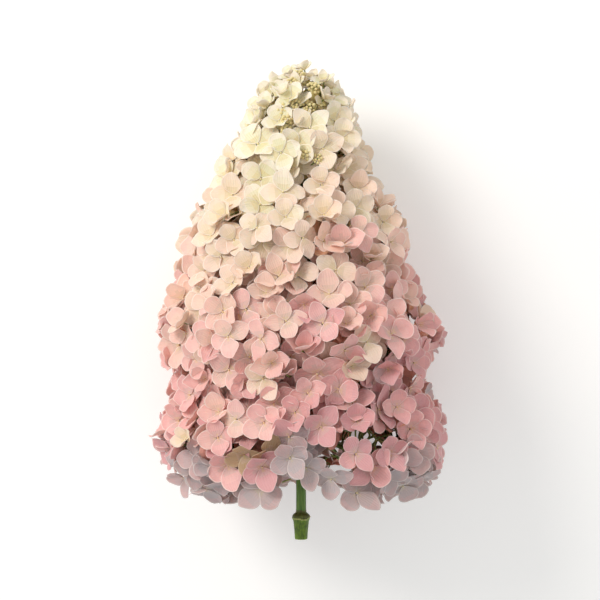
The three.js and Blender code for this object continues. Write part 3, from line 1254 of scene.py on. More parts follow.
    def has_room(self, way: Floret, room: float) -> bool:
        """Tells whether a floret leaves the clusters of buds and the florets placed one by one in sight.

        Args:
            way: the floret.
            room: how far it keeps from the florets placed one by one.

        Returns:
            Whether it does.
        """
        gaps = [cluster.centre + cluster.facing * self.bud_middle - way.centre for cluster in self.clusters]
        if any(float(np.linalg.norm(gap)) < self.bud_room * way.size for gap in gaps):
            return False
        gaps = [centre - way.centre for centre in self.front_centres]
        return room == 0.0 or all(float(np.linalg.norm(gap)) > room * way.size for gap in gaps)

    def one_way(
        self, layer: Layer, point: OutlinePoint, angle: float, random: np.random.Generator
    ) -> Floret:
        """Draws one way for a floret to stand.

        Args:
            layer: its layer.
            point: its place on the outline.
            angle: its angle round the axis.
            random: the source of chance.

        Returns:
            The floret.
        """
        normal = around(point.out, point.along, angle)
        surface = around(point.radius, point.distance, angle)
        surface[0] += point.offset
        surface[1] += self.outline.lift(surface[0], surface[1], surface[2])
        young = float(smoothstep(point.distance, *self.young_span))
        size = (1.0 - self.young_smaller * young) * random.uniform(*self.sizes)
        centre = surface - normal * random.uniform(*layer.depth) * (1 - self.young_shallower * young)
        axis = unit(np.cross(random.normal(size=3), normal))
        lean = math.radians(layer.lean) * math.sqrt(random.uniform())
        drooping = 1.0 - float(smoothstep(point.distance, *self.drooping_span))
        normal = normal * np.array([1.0, 1.0 - self.drooping_turn * drooping, 1.0])
        facing = unit(about(axis, lean) @ unit(normal + np.array([0.0, self.tipwards, 0.0])))
        room = float(self.lying.height(centre))
        if room < self.near_table:
            flat = float(np.clip(1 - room / self.near_table, 0.0, 1.0))
            facing = unit(facing * (1 - flat) * 0.5 - self.lying.up * (0.5 + 0.5 * flat))
            centre = centre + self.lying.up * max(0.0, self.lowest - room)
        bloom = self.choose_bloom(young, random)
        seed = int(random.integers(self.variants))
        tints = choose_tints(point.distance, surface[0], layer, random)
        return Floret(centre, facing, random.uniform(0, math.pi), size, bloom, seed, tints, layer.inner)

    def choose_bloom(self, young: float, random: np.random.Generator) -> Bloom:
        """Picks how far open a floret is.

        Args:
            young: 0 for a full-grown floret to 1 for one at the tip.
            random: the source of chance.

        Returns:
            The bloom.
        """
        if random.uniform() < young * YOUNG_SHARE:
            return Bloom.YOUNG
        kinds = tuple(BLOOM_SHARES)
        return kinds[int(random.choice(len(kinds), p=tuple(BLOOM_SHARES.values())))]

    def clear_sights(self) -> Iterator[list[tuple[Vector, Vector, float]]]:
        """Gives the sight lines that stay clear, through the openings and to the buds seen in front.

        Yields:
            For one opening or cluster, each line's start, its direction and how far it stays clear.
        """
        for opening in self.openings:
            yield [(start, way, 2 * self.view.distance) for start, way in opening.sights(self.view)]
        eye = self.view.eye
        for cluster in self.clusters:
            if cluster.centre[2] > 0:
                top = cluster.centre + cluster.facing * self.bud_top
                ends = [top + np.array([x * self.bud_half, y * self.bud_half, 0.0]) for x, y in CROSS]
                yield [(Vector(eye), Vector(unit(end - eye)), math.dist(end, eye)) for end in ends]

    def closes(self, centre: Array, tree: BVHTree) -> int:
        """Gives what a floret costs for the sight lines that it would block.

        Args:
            centre: the floret's middle.
            tree: its faces.

        Returns:
            0 where it blocks none.
        """
        closed = 0
        for sights in self.sights:
            eye, way = (np.array(part) for part in sights[0][:2])
            if np.linalg.norm(np.cross(centre - eye, way)) < self.sight_within:
                closed += sum(tree.ray_cast(*sight)[0] is not None for sight in sights)
        return closed * self.sight_cost

    def best_way(
        self, ways: Sequence[Floret], standing: list[tuple[Array, BVHTree]], most_cuts: int
    ) -> Floret | None:
        """Keeps the way to stand that cuts through the fewest faces of the florets that stand already.

        Args:
            ways: the ways.
            standing: the florets that already stand, to which the kept one is added.
            most_cuts: how many faces it may cut through.

        Returns:
            The kept floret, or none where all would cut through too many.
        """
        best: tuple[int, Floret, BVHTree] | None = None
        within = self.neighbour_within**2
        for way in ways:
            shape = way.placed(self.masters[way.bloom, way.seed, True])
            near = [tree for centre, tree in standing if np.sum((centre - way.centre) ** 2) < within]
            tree = BVHTree.FromPolygons(shape.corners.tolist(), shape.faces)
            cuts = sum(len(tree.overlap(other)) for other in near)
            over = max(self.beyond(shape.corners) - self.beyond_free, 0.0)
            cuts += round(over**2 * self.trim) + self.closes(way.centre, tree)
            if best is None or cuts < best[0]:
                best = (cuts, way, tree)
            if cuts == 0:
                break
        if best is None or best[0] > most_cuts:
            return None
        standing.append((best[1].centre, best[2]))
        return best[1]


# Tints run from the tip's cream to the base's pink, then the greyer dusky ones of the drooping rim, partly
# the florets' own dusky pink and partly painted shade, a late cream, the warm ones of the inner florets,
# which are painted shade of the recesses, and a tan that is painted shade on florets low down
TINTS = (
    "EAE1BA",
    "EFE3C0",
    "F2E0C2",
    "F3DBBF",
    "F3D3BC",
    "F3CCB9",
    "F2C6B6",
    "F1BDB3",
    "EEB4AE",
    "E6A7A4",
    "D99E9F",
    "C2A8A7",
    "B4A6A6",
    "E4C4AE",
    "E4D08A",
    "EDC899",
    "EEB592",
    "EBA38A",
    "D99688",
    "BB9D7C",
)
# Distance from the cut end and the tint there, for the outer florets and for the inner ones, whose warm
# tints are painted shade
TINT_STOPS = ((20, 12.0), (34, 11.6), (46, 10.6), (62, 9.3), (100, 8.1), (135, 6.9), (165, 5.3), (190, 3.9))
TINT_STOPS += ((215, 2.6), (240, 1.4), (270, 0.4))
INNER_STOPS = ((20, 18.4), (60, 17.6), (120, 16.8), (170, 16.0), (205, 15.2), (235, 14.4), (245, 14.0))
# The reddest tint, the first dusky one, which is partly painted shade, and the late cream, and where and
# how often florets have that
ROSIEST = 10
SHADED_DUSKY = 11
LATE_CREAM = 13
LATE_CREAM_SPAN = (75, 230)
LATE_CREAM_SHARE = 0.03
# The most that a floret's tint may be, at the rim and above it, and up to where the rim runs
MOST_TINT_RIM = 12.4
MOST_TINT = 10.4
RIM_UP_TO = 60
# How far tints vary from sepal to sepal, from floret to floret inside, and on the florets placed one by one
SEPAL_SPREAD = 0.45
INNER_SPREAD = 0.4
FRONT_SPREAD = 0.4
# How much of the reddening to the right, painted shade, the florets placed one by one take, as their own
# tints hold the rest
FRONT_REDDER = 0.7
# How many tints redder florets are at the right, as painted shade away from the lamp, from how far out
# they all are, and the least at the left, below nothing, so that the lit left is painted paler
REDDER_BY = 1.4
REDDER_FROM = 75
REDDER_LEAST = -0.35
# Between which distances from the cut end the rim's deeper dusky tints, partly painted shade, the
# reddening to the right, painted shade, and the full variety set in
RIM_SPAN = (66, 44)
REDDER_SPAN = (262, 215)
VARIED_SPAN = (250, 190)


# Painted shade and light: florets to the right, away from the lamp, run redder and those to the left paler
def redder(x: float) -> float:
    """Gives how many tints redder the florets are at a place from left to right."""
    return REDDER_BY * float(np.clip(x / REDDER_FROM, REDDER_LEAST, 1))


def choose_tints(distance: float, x: float, layer: Layer, random: np.random.Generator) -> tuple[int, ...]:
    """Deals a floret's sepals their tints by where it stands.

    Args:
        distance: its distance from the cut end.
        x: its place from left to right.
        layer: its layer.
        random: the source of chance.

    Returns:
        The tints' numbers.
    """
    stops = np.array(INNER_STOPS if layer.inner else TINT_STOPS)
    middle = float(np.interp(distance, stops[:, 0], stops[:, 1]))
    if layer.inner:
        # Inner florets take the warm tints that paint the shade of the recesses
        least = LATE_CREAM + 1
        return (int(np.clip(round(middle + random.normal() * INNER_SPREAD), least, least + 4)),) * 4
    if LATE_CREAM_SPAN[0] < distance < LATE_CREAM_SPAN[1] and random.uniform() < LATE_CREAM_SHARE:
        return (LATE_CREAM,) * 4
    # Florets at the drooping rim run deeper as painted shade, and the rest redder to the right as painted
    # shade and paler to the left as painted light
    rim = float(smoothstep(distance, *RIM_SPAN))
    middle += layer.deeper + 0.5 * rim + redder(x) * float(smoothstep(distance, *REDDER_SPAN)) * (1 - rim)
    middle += random.normal() * (0.4 + 0.5 * float(smoothstep(distance, *VARIED_SPAN)))
    most = MOST_TINT_RIM if distance < RIM_UP_TO else MOST_TINT
    sepals = middle + random.normal(size=4) * SEPAL_SPREAD
    return tuple(int(round(value)) for value in np.clip(sepals, 0, most))


# Finishes


def add_node(material: bpy.types.Material, kind: str, settings: dict, links: dict) -> bpy.types.Node:
    """Adds one node to a material.

    Args:
        material: the material.
        kind: the node's type, such as "ShaderNodeTexNoise".
        settings: values by socket name, or by property name.
        links: output sockets by the name of the input that each goes to.

    Returns:
        The node.
    """
    tree = material.node_tree
    node = tree.nodes.new(kind)
    for name, value in settings.items():
        if name in node.inputs:
            node.inputs[name].default_value = value
        else:
            setattr(node, name, value)
    for name, socket in links.items():
        tree.links.new(socket, node.inputs[name])
    return node


def new_material(name: str) -> tuple[bpy.types.Material, bpy.types.Node]:
    """Makes a material with one Principled shader.

    Args:
        name: its name.

    Returns:
        The material and its shader.
    """
    material = bpy.data.materials.new(name)
    material.use_nodes = True
    return material, material.node_tree.nodes["Principled BSDF"]


@dataclass(frozen=True)
class PetalFinish:
    """A fresh sepal's skin: one plain colour, thin enough for light to pass, with fine fanned veins.

    It is matt, faintly downy and lit through, so it glows where it is thin. grain and crinkle are the
    repeats in a metre of its cells' grain, of about 1.1 mm, and of its soft crinkles, of about 3.7 mm, both
    coarser than life so that they show.
    """

    name: str
    colour: Colour
    glow: float = 0.3
    roughness: float = 0.6
    grain: float = 900.0
    crinkle: float = 270.0
    relief: float = 0.0005
    veins: bool = True

    def build(self) -> bpy.types.Material:
        """Makes the material."""
        material, shader = new_material(self.name)
        shader.inputs["Base Color"].default_value = self.colour.linear()
        shader.inputs["Roughness"].default_value = self.roughness
        shader.inputs["Specular IOR Level"].default_value = 0.3
        shader.inputs["Subsurface Weight"].default_value = self.glow
        shader.inputs["Subsurface Radius"].default_value = (1.0, 0.62, 0.5)
        shader.inputs["Subsurface Scale"].default_value = 0.0015
        shader.inputs["Sheen Weight"].default_value = 0.12
        shader.inputs["Sheen Roughness"].default_value = 0.5
        if self.veins:
            place = add_node(material, "ShaderNodeTexCoord", {}, {})
            spot = {"Vector": place.outputs["Object"]}
            grain = add_node(material, "ShaderNodeTexNoise", {"Scale": self.grain, "Detail": 2.0}, spot)
            crinkle = add_node(material, "ShaderNodeTexNoise", {"Scale": self.crinkle, "Detail": 1.0}, spot)
            wave = add_node(
                material,
                "ShaderNodeTexWave",
                {"Scale": 2.6, "Distortion": 3.0, "Detail": 2.0, "Detail Scale": 1.4, "bands_direction": "X"},
                {"Vector": place.outputs["UV"]},
            )
            height = crinkle.outputs["Fac"]
            for part, share in ((wave, 0.3), (grain, 0.3)):
                both = add_node(material, "ShaderNodeMath", {"operation": "MULTIPLY_ADD"}, {})
                both.inputs[1].default_value = share
                material.node_tree.links.new(part.outputs["Fac"], both.inputs[0])
                material.node_tree.links.new(height, both.inputs[2])
                height = both.outputs["Value"]
            depth = {"Strength": 0.6, "Distance": self.relief}
            bump = add_node(material, "ShaderNodeBump", depth, {"Height": height})
            material.node_tree.links.new(bump.outputs["Normal"], shader.inputs["Normal"])
        return material


@dataclass(frozen=True)
class StalkFinish:
    """The skin of green stalks and branches: two greens that run into each other in long streaks.

    It is smooth, with a soft waxy gloss. scale is the streaks' repeats in a metre, of about 2.2 mm, stretch
    how much longer they run along the stem, as a share, and relief how deep they are in metres.
    """

    name: str
    dark: Colour
    light: Colour
    scale: float = 450.0
    stretch: float = 0.12
    roughness: float = 0.5
    glow: float = 0.1
    relief: float = 0.0003

    def build(self) -> bpy.types.Material:
        """Makes the material."""
        material, shader = new_material(self.name)
        place = add_node(material, "ShaderNodeTexCoord", {}, {})
        stretch = add_node(
            material,
            "ShaderNodeMapping",
            {"Scale": (1.0, self.stretch, 1.0)},
            {"Vector": place.outputs["Object"]},
        )
        streaks = add_node(
            material,
            "ShaderNodeTexNoise",
            {"Scale": self.scale, "Detail": 4.0, "Roughness": 0.6},
            {"Vector": stretch.outputs["Vector"]},
        )
        ramp = add_node(material, "ShaderNodeValToRGB", {}, {"Fac": streaks.outputs["Fac"]})
        ramp.color_ramp.elements[0].position = 0.35
        ramp.color_ramp.elements[0].color = self.dark.linear()
        ramp.color_ramp.elements[1].position = 0.65
        ramp.color_ramp.elements[1].color = self.light.linear()
        bump = add_node(
            material,
            "ShaderNodeBump",
            {"Strength": 0.4, "Distance": self.relief},
            {"Height": streaks.outputs["Fac"]},
        )
        material.node_tree.links.new(ramp.outputs["Color"], shader.inputs["Base Color"])
        material.node_tree.links.new(bump.outputs["Normal"], shader.inputs["Normal"])
        shader.inputs["Roughness"].default_value = self.roughness
        shader.inputs["Subsurface Weight"].default_value = self.glow
        shader.inputs["Subsurface Scale"].default_value = 0.002
        return material


@dataclass(frozen=True)
class Palette:
    """All the head's materials by the name of their finish."""

    tints: Sequence[str]

    def build(self) -> dict[str, bpy.types.Material]:
        """Makes the materials.

        Returns:
            Material of each finish.
        """
        made: dict[str, bpy.types.Material] = {}
        lime, rose, highlight_white = Colour.of("D1C588"), Colour.of(self.tints[ROSIEST - 1]), Colour.of("FFF1E6")
        for index, code in enumerate(self.tints):
            blade = Colour.of(code)
            shaded_dusky = SHADED_DUSKY <= index < LATE_CREAM
            sand = Colour.of("DCC47E").towards(Colour.of("CDB4A8"), min(1.0, index / 7))
            onward = Colour.of(self.tints[index + 1]) if index < ROSIEST else rose if shaded_dusky else blade
            # The foot and heart are the floret's greener middle and partly painted shade, the tip runs rosier
            # and, on the creams, whiter as a painted highlight, and the rim is a painted highlight
            mixes = {
                "foot": blade.towards(lime, 0.22 if shaded_dusky else 0.36),
                "heart": blade.towards(sand, 0.15 if shaded_dusky else 0.36),
                "blade": blade,
                "tip": blade.towards(onward, 0.2 if shaded_dusky else 0.5).towards(highlight_white, 0.5 - index * 0.1),
                "rim": blade.towards(highlight_white, 0.55 - 0.02 * index),
                "eye": blade.towards(lime, 0.6),
            }
            for zone, colour in mixes.items():
                skin = PetalFinish(f"petal_{zone}_{index:02d}", colour, veins=zone not in ("rim", "eye"))
                made[f"{tint_name(index)}_{zone}"] = skin.build()
        made["bud"] = PetalFinish("bud_cream", Colour.of("E0D29A"), glow=0.15, veins=False).build()
        greens = (
            ("stalk", "stalk_olive", "6B7838", "A0A85E", {}),
            ("branch", "branch_green", "5E7A30", "84994A", {}),
            ("stem", "stem_green", "38621A", "6A8F3C", {}),
            ("stem_foot", "stem_foot_green", "364E03", "6A8A10", {"stretch": 0.5}),
            ("stem_joint", "stem_joint_brown", "40400F", "66702C", {}),
            ("stem_lip", "stem_scar", "7F8E3C", "B4B86E", {}),
            ("pith", "cut_pith", "B9C48E", "D5DAB4", {"scale": 500}),
        )
        for finish, name, dark, light, own in greens:
            made[finish] = StalkFinish(name, Colour.of(dark), Colour.of(light), **own).build()
        return made


# Pieces of the head


@dataclass(frozen=True)
class StemPiece:
    """The stem: turned from a profile, with shallow ribs, the old leaf joint's lip and its two leaf scars.

    rib_twist says how far the ribs turn with the height, scar_at and scar_half how far from the cut end the
    scars lie and their half height, scar_out and lip_out how far they and the lip stand out, zone_stops
    where the foot, the lip, the joint and the stem's own green meet, counted from the lip, pith_up_to where
    the cut's pith ends, and cut_edge how much the cut end's edge is rounded.
    """

    profile: Sequence[tuple[float, float]]
    sides: int = 40
    ribs: int = 7
    rib_depth: float = 0.09
    rib_twist: float = 0.02
    scar_at: float = 14.2
    scar_half: float = 1.7
    scar_out: float = 0.4
    lip_half: float = 0.5
    lip_out: float = 0.3
    zone_stops: tuple[float, float, float] = (-0.5, 0.45, 5.5)
    pith_up_to: float = 0.3
    cut_edge: float = 0.3

    def build(self, lying: Lying, materials: dict[str, bpy.types.Material]) -> bpy.types.Object:
        """Makes the stem.

        Args:
            lying: how the head lies.
            materials: material of each finish.

        Returns:
            The stem's object.
        """
        mesh = bmesh.new()
        ends = [(0.0, self.profile[0][1]), *self.smoothed(), (0.0, self.profile[-1][1])]
        verts = [mesh.verts.new((radius, distance, 0.0)) for radius, distance in ends]
        edges = [mesh.edges.new(pair) for pair in zip(verts, verts[1:])]
        bmesh.ops.spin(
            mesh,
            geom=[*verts, *edges],
            cent=(0, 0, 0),
            axis=(0, 1, 0),
            angle=2 * math.pi,
            steps=self.sides,
            use_merge=True,
        )
        bmesh.ops.remove_doubles(mesh, verts=mesh.verts[:], dist=0.0005)
        bmesh.ops.recalc_face_normals(mesh, faces=mesh.faces[:])
        for vert in mesh.verts:
            x, y, z = vert.co
            angle = math.atan2(z, x)
            out = math.hypot(x, z)
            if out < 0.01:
                continue
            rib = self.rib_depth * math.cos(self.ribs * angle + self.rib_twist * y)
            side = abs(math.cos(angle)) ** 5
            scar = self.scar_out * side * math.exp(-(((y - self.scar_at) / self.scar_half) ** 2))
            lip = self.lip_out * math.exp(-(((y - self.lip_at(angle)) / self.lip_half) ** 2))
            grow = 1 + (rib * min(1.0, out) + scar + lip) / out
            vert.co = (x * grow, y, z * grow)
        for face in mesh.faces:
            x, y, z = face.calc_center_median()
            above = y - self.lip_at(math.atan2(z, x))
            zone = 1 + int(np.searchsorted(self.zone_stops, above))
            face.material_index = 0 if y < self.pith_up_to else zone
        kinds = ("pith", "stem_foot", "stem_lip", "stem_joint", "stem")
        shape = shape_from(mesh, dict(enumerate(kinds)), rough={0})
        piece = JoinedPiece("stem_skin")
        piece.add(replace(shape, corners=lying.place(shape.corners)))
        return piece.build(materials)

    def lip_at(self, angle: float) -> float:
        """Gives how far from the cut end the old leaves' scar runs, which is highest at the sides."""
        return 13.2 + 0.5 * math.cos(2 * angle) + 0.35 * math.cos(3 * angle + 0.8)

    def smoothed(self) -> list[tuple[float, float]]:
        """Reads the profile at close steps, finest at the joint."""
        joint_end, top = 24.0, 252.0
        fine, coarse = np.arange(1.0, joint_end, 0.45), np.arange(joint_end, top, 5.0)
        steps = np.concatenate([[0.0, 0.35], fine, coarse, [top]])
        radii = np.interp(steps, [s for _, s in self.profile], [r for r, _ in self.profile])
        radii[0] -= self.cut_edge
        return list(zip(radii.tolist(), steps.tolist()))


@dataclass(frozen=True)
class LimbKind:
    """A kind of limb: its radius at its root and at its tip, its number of sides and its finish."""

    root: float
    tip: float
    sides: int
    finish: str


# The twig from a branch's tip, the forks on it, a floret's own stalk, and a side branch
TWIG = LimbKind(1.15, 0.75, 7, "stalk")
FORK = LimbKind(0.75, 0.6, 5, "stalk")
STALK = LimbKind(0.55, 0.45, 5, "stalk")
BRANCH = LimbKind(1.75, 1.2, 12, "branch")


@dataclass(frozen=True)
class Dressing:
    """Turns the grown head into joined pieces that ride on the frame.

    twig_reach and twig_bend are shares of the way to a mass's middle, per_fork how many florets a fork
    carries, and fork_reach the share of the way to the place fork_behind them where it ends. A stalk runs
    straight behind its floret for straight of its length and at most longest_neck millimetres, and ends
    sunk under it. A path is read every path_step where it is led round the openings, and is left as it is
    where that moves it less than least_bend.
    """

    head: Head
    materials: dict[str, bpy.types.Material]
    slots: Sequence[str]
    twig_reach: float = 0.6
    twig_bend: float = 0.4
    per_fork: int = 4
    fork_reach: float = 0.45
    fork_behind: float = 6.0
    straight: float = 0.6
    longest_neck: float = 9.0
    sunk: float = 0.2
    path_step: float = 1.2
    least_bend: float = 0.05

    def florets(self) -> None:
        """Builds one piece of florets for each tier."""
        for tier, slot in enumerate(self.slots, start=1):
            masses = [mass for mass in self.head.masses if mass.tier == tier]
            piece = JoinedPiece(f"florets_tier_{tier}")
            for mass in masses:
                for floret in mass.florets:
                    master = self.head.masters[floret.bloom, floret.seed, floret.inner]
                    shape = floret.placed(master)
                    placed = self.head.lying.place(self.head.lying.press(shape.corners))
                    piece.add(replace(shape, corners=placed), [tint_name(tint) for tint in floret.tints])
            made = piece.build(self.materials)
            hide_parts(*(mass.node for mass in masses))
            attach(made, "root")
            log.info("%s: %d florets", made.name, sum(len(mass.florets) for mass in masses))

    def stalks(self) -> None:
        """Builds the twigs and stalks that carry the florets, as one piece."""
        piece = JoinedPiece("floret_stalks")
        for mass in self.head.masses:
            if not mass.florets:
                continue
            middle = np.mean([floret.centre for floret in mass.florets], axis=0)
            crown = mass.start + (middle - mass.start) * self.twig_reach
            elbow = mass.start + mass.ahead * float(np.linalg.norm(crown - mass.start)) * self.twig_bend
            twig = bend(mass.start, elbow, crown, 9)
            self.limb(piece, twig, TWIG)
            tips = [*mass.florets, *mass.buds]
            ordered = sorted(tips, key=lambda tip: float((tip.centre - mass.start) @ mass.ahead))
            groups = [ordered[i : i + self.per_fork] for i in range(0, len(ordered), self.per_fork)]
            for i, group in enumerate(groups):
                root = twig[1 + round((len(twig) - 2) * (i + 0.5) / len(groups))]
                far = np.mean([floret.centre - floret.facing * self.fork_behind for floret in group], axis=0)
                fork = root + (far - root) * self.fork_reach
                self.limb(piece, bend(root, (root + fork) / 2 + mass.ahead, fork, 4), FORK)
                for floret in group:
                    length = np.linalg.norm(floret.centre - fork)
                    neck = floret.centre - floret.facing * min(self.longest_neck, self.straight * length)
                    stalk = bend(fork, neck, floret.centre - floret.facing * self.sunk, 5)
                    self.limb(piece, stalk, STALK)
        made = piece.build(self.materials)
        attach(made, "root")

    def buds(self) -> None:
        """Builds the clusters of buds, as one piece."""
        piece = JoinedPiece("flower_buds")
        masters = [self.head.kit.buds(seed) for seed in range(self.head.bud_kinds)]
        for cluster in self.head.clusters:
            turn = turning(FRONTWARDS, cluster.facing) * cluster.size
            shape = masters[cluster.seed].moved(turn, cluster.centre)
            piece.add(replace(shape, corners=self.head.lying.place(shape.corners)))
        made = piece.build(self.materials)
        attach(made, "root")

    def limb(self, piece: JoinedPiece, path: Array, kind: LimbKind) -> None:
        """Adds one limb to a piece, led round the openings unless it is a side branch.

        Args:
            piece: the piece.
            path: the limb's path in the head's own frame.
            kind: the limb's kind.
        """
        if kind is not BRANCH:
            path = self.part(path)
        taper = np.linspace(kind.root, kind.tip, len(path))
        shape = Limb(path, taper, kind.sides, kind.finish).shape()
        piece.add(replace(shape, corners=self.head.lying.place(self.head.lying.press(shape.corners))))

    def part(self, path: Array) -> Array:
        """Leads a limb's path round the openings that it would cross.

        Args:
            path: the path.

        Returns:
            The same path, with closer steps and bent aside where it comes near an opening.
        """
        length = np.concatenate([[0.0], np.cumsum(np.linalg.norm(np.diff(path, axis=0), axis=1))])
        steps = np.linspace(0.0, length[-1], max(len(path), math.ceil(length[-1] / self.path_step)))
        fine = np.stack([np.interp(steps, length, column) for column in path.T], axis=1)
        moved = fine
        for opening in [*self.head.openings, *self.head.openings]:
            moved = opening.parted(self.head.view, moved)
        return moved if np.abs(moved - fine).max() > self.least_bend else path

    def branches(self) -> None:
        """Builds the side branches, as one piece."""
        piece = JoinedPiece("side_branch_skin")
        nodes = []
        for mass in self.head.masses:
            if mass.branch is not None:
                self.limb(piece, mass.branch, BRANCH)
                nodes.append(f"side_branch_{mass.name}")
        made = piece.build(self.materials)
        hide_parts(*nodes)
        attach(made, "root")

    def stem(self, profile: Sequence[tuple[float, float]]) -> None:
        """Builds the stem.

        Args:
            profile: radius and distance from the cut end.
        """
        made = StemPiece(profile).build(self.head.lying, self.materials)
        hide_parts("stem")
        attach(made, "root")


# The studio


@dataclass(frozen=True)
class SoftLight:
    """A round soft light.

    way is its direction from the head, in the head's own frame, far its distance and size its width in
    metres, power its watts and tone its colour's digits.
    """

    name: str
    way: tuple[float, float, float]
    far: float
    size: float
    power: float
    tone: str


@dataclass(frozen=True)
class Studio:
    """A pale table, soft light from the upper left, and the camera at the photograph's angle."""

    lying: Lying
    view: View
    key_light: SoftLight
    lens: float = 85.0
    table_radius: float = 4.0
    table_glow: float = 0.14
    sky_strength: float = 0.73

    def camera(self) -> None:
        """Makes the camera, which looks straight at the head from its upper side."""
        data = bpy.data.cameras.new("camera")
        data.lens, data.sensor_width = self.lens, 36.0
        data.dof.use_dof = False
        data.clip_start, data.clip_end = 0.01, 20.0
        made = bpy.data.objects.new("camera", data)
        bpy.context.scene.collection.objects.link(made)
        made.matrix_world = self.turned(self.lying.axes, self.lying.place(self.view.eye))
        bpy.context.scene.camera = made

    def turned(self, axes: Array, place: Array) -> Matrix:
        """Makes a matrix from three directions and a place.

        Args:
            axes: the directions of x, y and z, one per row.
            place: the place.

        Returns:
            The matrix.
        """
        matrix = Matrix([Vector(axis) for axis in axes]).transposed().to_4x4()
        matrix.translation = Vector(place)
        return matrix

    def light(self, lamp: SoftLight) -> None:
        """Makes one soft light.

        Args:
            lamp: the light.
        """
        data = bpy.data.lights.new(lamp.name, "AREA")
        data.shape, data.size, data.energy = "DISK", lamp.size, lamp.power
        data.color = Colour.of(lamp.tone).linear()[:3]
        made = bpy.data.objects.new(lamp.name, data)
        bpy.context.scene.collection.objects.link(made)
        target = self.lying.place(self.view.aim)
        back = Vector(np.array(lamp.way) @ self.lying.axes).normalized()
        made.rotation_mode = "QUATERNION"
        made.rotation_quaternion = back.to_track_quat("Z", "Y")
        made.location = Vector(target) + back * lamp.far

    def build(self) -> None:
        """Makes the table, the lights, the surroundings and the camera."""
        mesh = bmesh.new()
        bmesh.ops.create_circle(mesh, cap_ends=True, segments=96, radius=self.table_radius)
        data = bpy.data.meshes.new("table_top")
        mesh.to_mesh(data)
        mesh.free()
        table = bpy.data.objects.new("table_top", data)
        bpy.context.scene.collection.objects.link(table)
        material, shader = new_material("table_pale")
        shader.inputs["Base Color"].default_value = Colour.of("F7F7F5").linear()
        shader.inputs["Roughness"].default_value = 0.9
        shader.inputs["Emission Color"].default_value = (1.0, 1.0, 1.0, 1.0)
        shader.inputs["Emission Strength"].default_value = self.table_glow
        data.materials.append(material)
        self.light(self.key_light)
        world = bpy.data.worlds.new("surroundings")
        world.use_nodes = True
        sky = world.node_tree.nodes["Background"]
        sky.inputs["Color"].default_value = (1.0, 1.0, 1.0, 1.0)
        sky.inputs["Strength"].default_value = self.sky_strength
        bpy.context.scene.world = world
        bpy.context.scene.view_settings.view_transform = "Standard"
        self.camera()


# How it lies: degrees by which the tip lies lower than the cut end
REST_TILT = 6.0
# The one lamp, at the photograph's upper left
KEY_LIGHT = SoftLight("key_light", (-0.58, 0.44, 0.69), 1.3, 0.55, 9.4, "FFF9F4")
# Outline from beside the stem, round the drooping rim and up to the tip: radius, distance and offset
OUTLINE = (
    (9, 50, 0),
    (34, 37, 0),
    (60, 28.5, 2),
    (80, 37, 1),
    (92, 63, 0),
    (81, 97, 0.5),
    (89, 132, -2),
    (73, 165, -5),
    (70.5, 192, -4),
    (52, 222, -4),
    (41.5, 249, -2),
    (31, 273, 0),
    (17, 289, 1),
    (1, 296, 1),
)
# Side branches: how many, where they leave the stem, where their masses are centred, and their turn
WHORLS = (
    Whorl(5, 60, 38, 0),
    Whorl(5, 70, 74, 36),
    Whorl(5, 94, 112, 0),
    Whorl(4, 126, 151, 45),
    Whorl(4, 166, 192, 0),
    Whorl(3, 206, 232, 30),
)
# Clusters of buds seen in front: how far to the right they stand, and how far from the cut end
BUD_SPOTS = (
    (-1, 289),
    (-6, 284),
    (8, 280),
    (-12, 266),
    (-3, 269),
    (5, 267),
    (-9, 258),
    (-9, 252),
    (3, 237),
    (10, 234),
)
